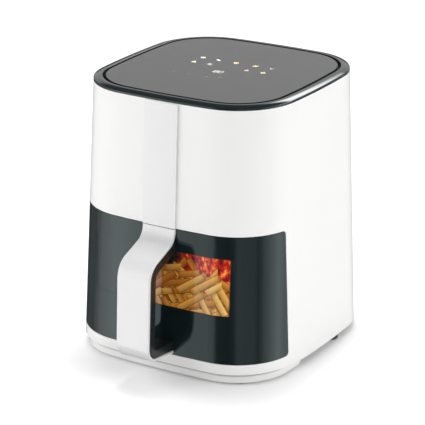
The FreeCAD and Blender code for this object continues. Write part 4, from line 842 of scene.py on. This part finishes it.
def band_levels(graph, turn, band):
    """Brightness of one band of the surroundings, by the turn round the object from 0 to 1."""
    stops = [((degrees + 180) / 360, (level, level, level)) for degrees, level in band]
    return graph.ramp(turn, stops, "EASE")


def surroundings():
    """World: white for the camera, even light on matt surfaces, bright and dark bands in glossy ones."""
    world = bpy.data.worlds.new("studio")
    bpy.context.scene.world = world
    world.use_nodes = True
    world.node_tree.nodes.clear()
    graph = Graph(world.node_tree)
    way = graph.axes(graph.coordinates("Generated"))
    angle = graph.math("ARCTAN2", way["X"], graph.times(way["Y"], -1.0))
    turn = graph.spread(angle, -math.pi, math.pi)
    mirrored = band_levels(graph, turn, LOW_BAND)
    for band, heights in ((MIDDLE_BAND, MIDDLE_FROM), (HIGH_BAND, HIGH_FROM)):
        mirrored = graph.mix(graph.fade(way["Z"], *heights), mirrored, band_levels(graph, turn, band))
    for heights in (TOP_END_FROM, LOW_END_FROM):
        mirrored = graph.mix(graph.fade(way["Z"], *heights), mirrored, opaque(END_COLOUR))
    rays = graph.add("ShaderNodeLightPath").outputs
    shiny = graph.math("MAXIMUM", rays["Is Glossy Ray"], rays["Is Transmission Ray"])
    seen = graph.mix(shiny, (AMBIENT, AMBIENT, AMBIENT, 1), mirrored)
    colour = graph.mix(rays["Is Camera Ray"], seen, (1, 1, 1, 1))
    background = graph.add("ShaderNodeBackground", {"Color": colour})
    graph.add("ShaderNodeOutputWorld", {"Surface": background.outputs[0]})


def white_floor():
    """White floor with the object's shadow, a little brighter for the camera, and open to glossy rays."""
    bpy.ops.mesh.primitive_plane_add(size=FLOOR_SIZE)
    floor = bpy.context.object
    floor.name = "floor"
    made, graph, shader = material("floor_white")
    graph.set(shader.inputs["Base Color"], graph.drift(graph.coordinates(), FLOOR_NOISE, *FLOOR_TONES))
    shader.inputs["Roughness"].default_value = FLOOR_ROUGHNESS
    shader.inputs["Specular IOR Level"].default_value = LOW_GLARE
    rays = graph.add("ShaderNodeLightPath").outputs
    strength = graph.times(rays["Is Camera Ray"], FLOOR_LIFT)
    lift = graph.add("ShaderNodeEmission", {"Strength": strength})
    both = graph.add("ShaderNodeAddShader", {0: shader.outputs[0], 1: lift.outputs[0]})
    open_to_gloss = graph.add("ShaderNodeBsdfTransparent")
    choice = {0: rays["Is Glossy Ray"], 1: both.outputs[0], 2: open_to_gloss.outputs[0]}
    mixed = graph.add("ShaderNodeMixShader", choice)
    output = next(node for node in made.node_tree.nodes if node.type == "OUTPUT_MATERIAL")
    graph.set(output.inputs["Surface"], mixed.outputs[0])
    floor.data.materials.append(made)


def lamps():
    """Soft lamps aimed at the body, which the glossy pieces don't mirror."""
    for name, values in LAMPS.items():
        data = bpy.data.lights.new(name, "AREA")
        data.shape = "RECTANGLE"
        data.size, data.size_y = values["size"]
        data.energy = values["watts"]
        lamp = bpy.data.objects.new(name, data)
        bpy.context.scene.collection.objects.link(lamp)
        lamp.location = values["place"]
        aim = LAMP_AIM - Vector(values["place"])
        lamp.rotation_euler = aim.to_track_quat("-Z", "Y").to_euler()
        lamp.visible_glossy = False


def camera():
    """Camera at the photograph's place, aimed and shifted as the photograph was."""
    data = bpy.data.cameras.new("camera")
    data.sensor_width = CAMERA_SENSOR
    data.lens = CAMERA_LENS
    data.shift_x, data.shift_y = CAMERA_SHIFT
    data.clip_end = CAMERA_REACH
    made = bpy.data.objects.new("camera", data)
    bpy.context.scene.collection.objects.link(made)
    sin_a = math.sin(CAMERA_AZIMUTH)
    cos_a = math.cos(CAMERA_AZIMUTH)
    sin_e = math.sin(CAMERA_ELEVATION)
    cos_e = math.cos(CAMERA_ELEVATION)
    back = Vector((sin_a * cos_e, -cos_a * cos_e, sin_e))
    right = Vector((cos_a, sin_a, 0))
    up = Vector((-sin_a * sin_e, cos_a * sin_e, cos_e))
    turn = Matrix((right, up, back)).transposed().to_4x4()
    made.matrix_world = Matrix.Translation(CAMERA_TARGET + back * CAMERA_DISTANCE) @ turn
    bpy.context.scene.camera = made


bpy.context.scene.view_settings.view_transform = "Standard"
rim()
keys()
marks()
digits()
surroundings()
white_floor()
lamps()
camera()
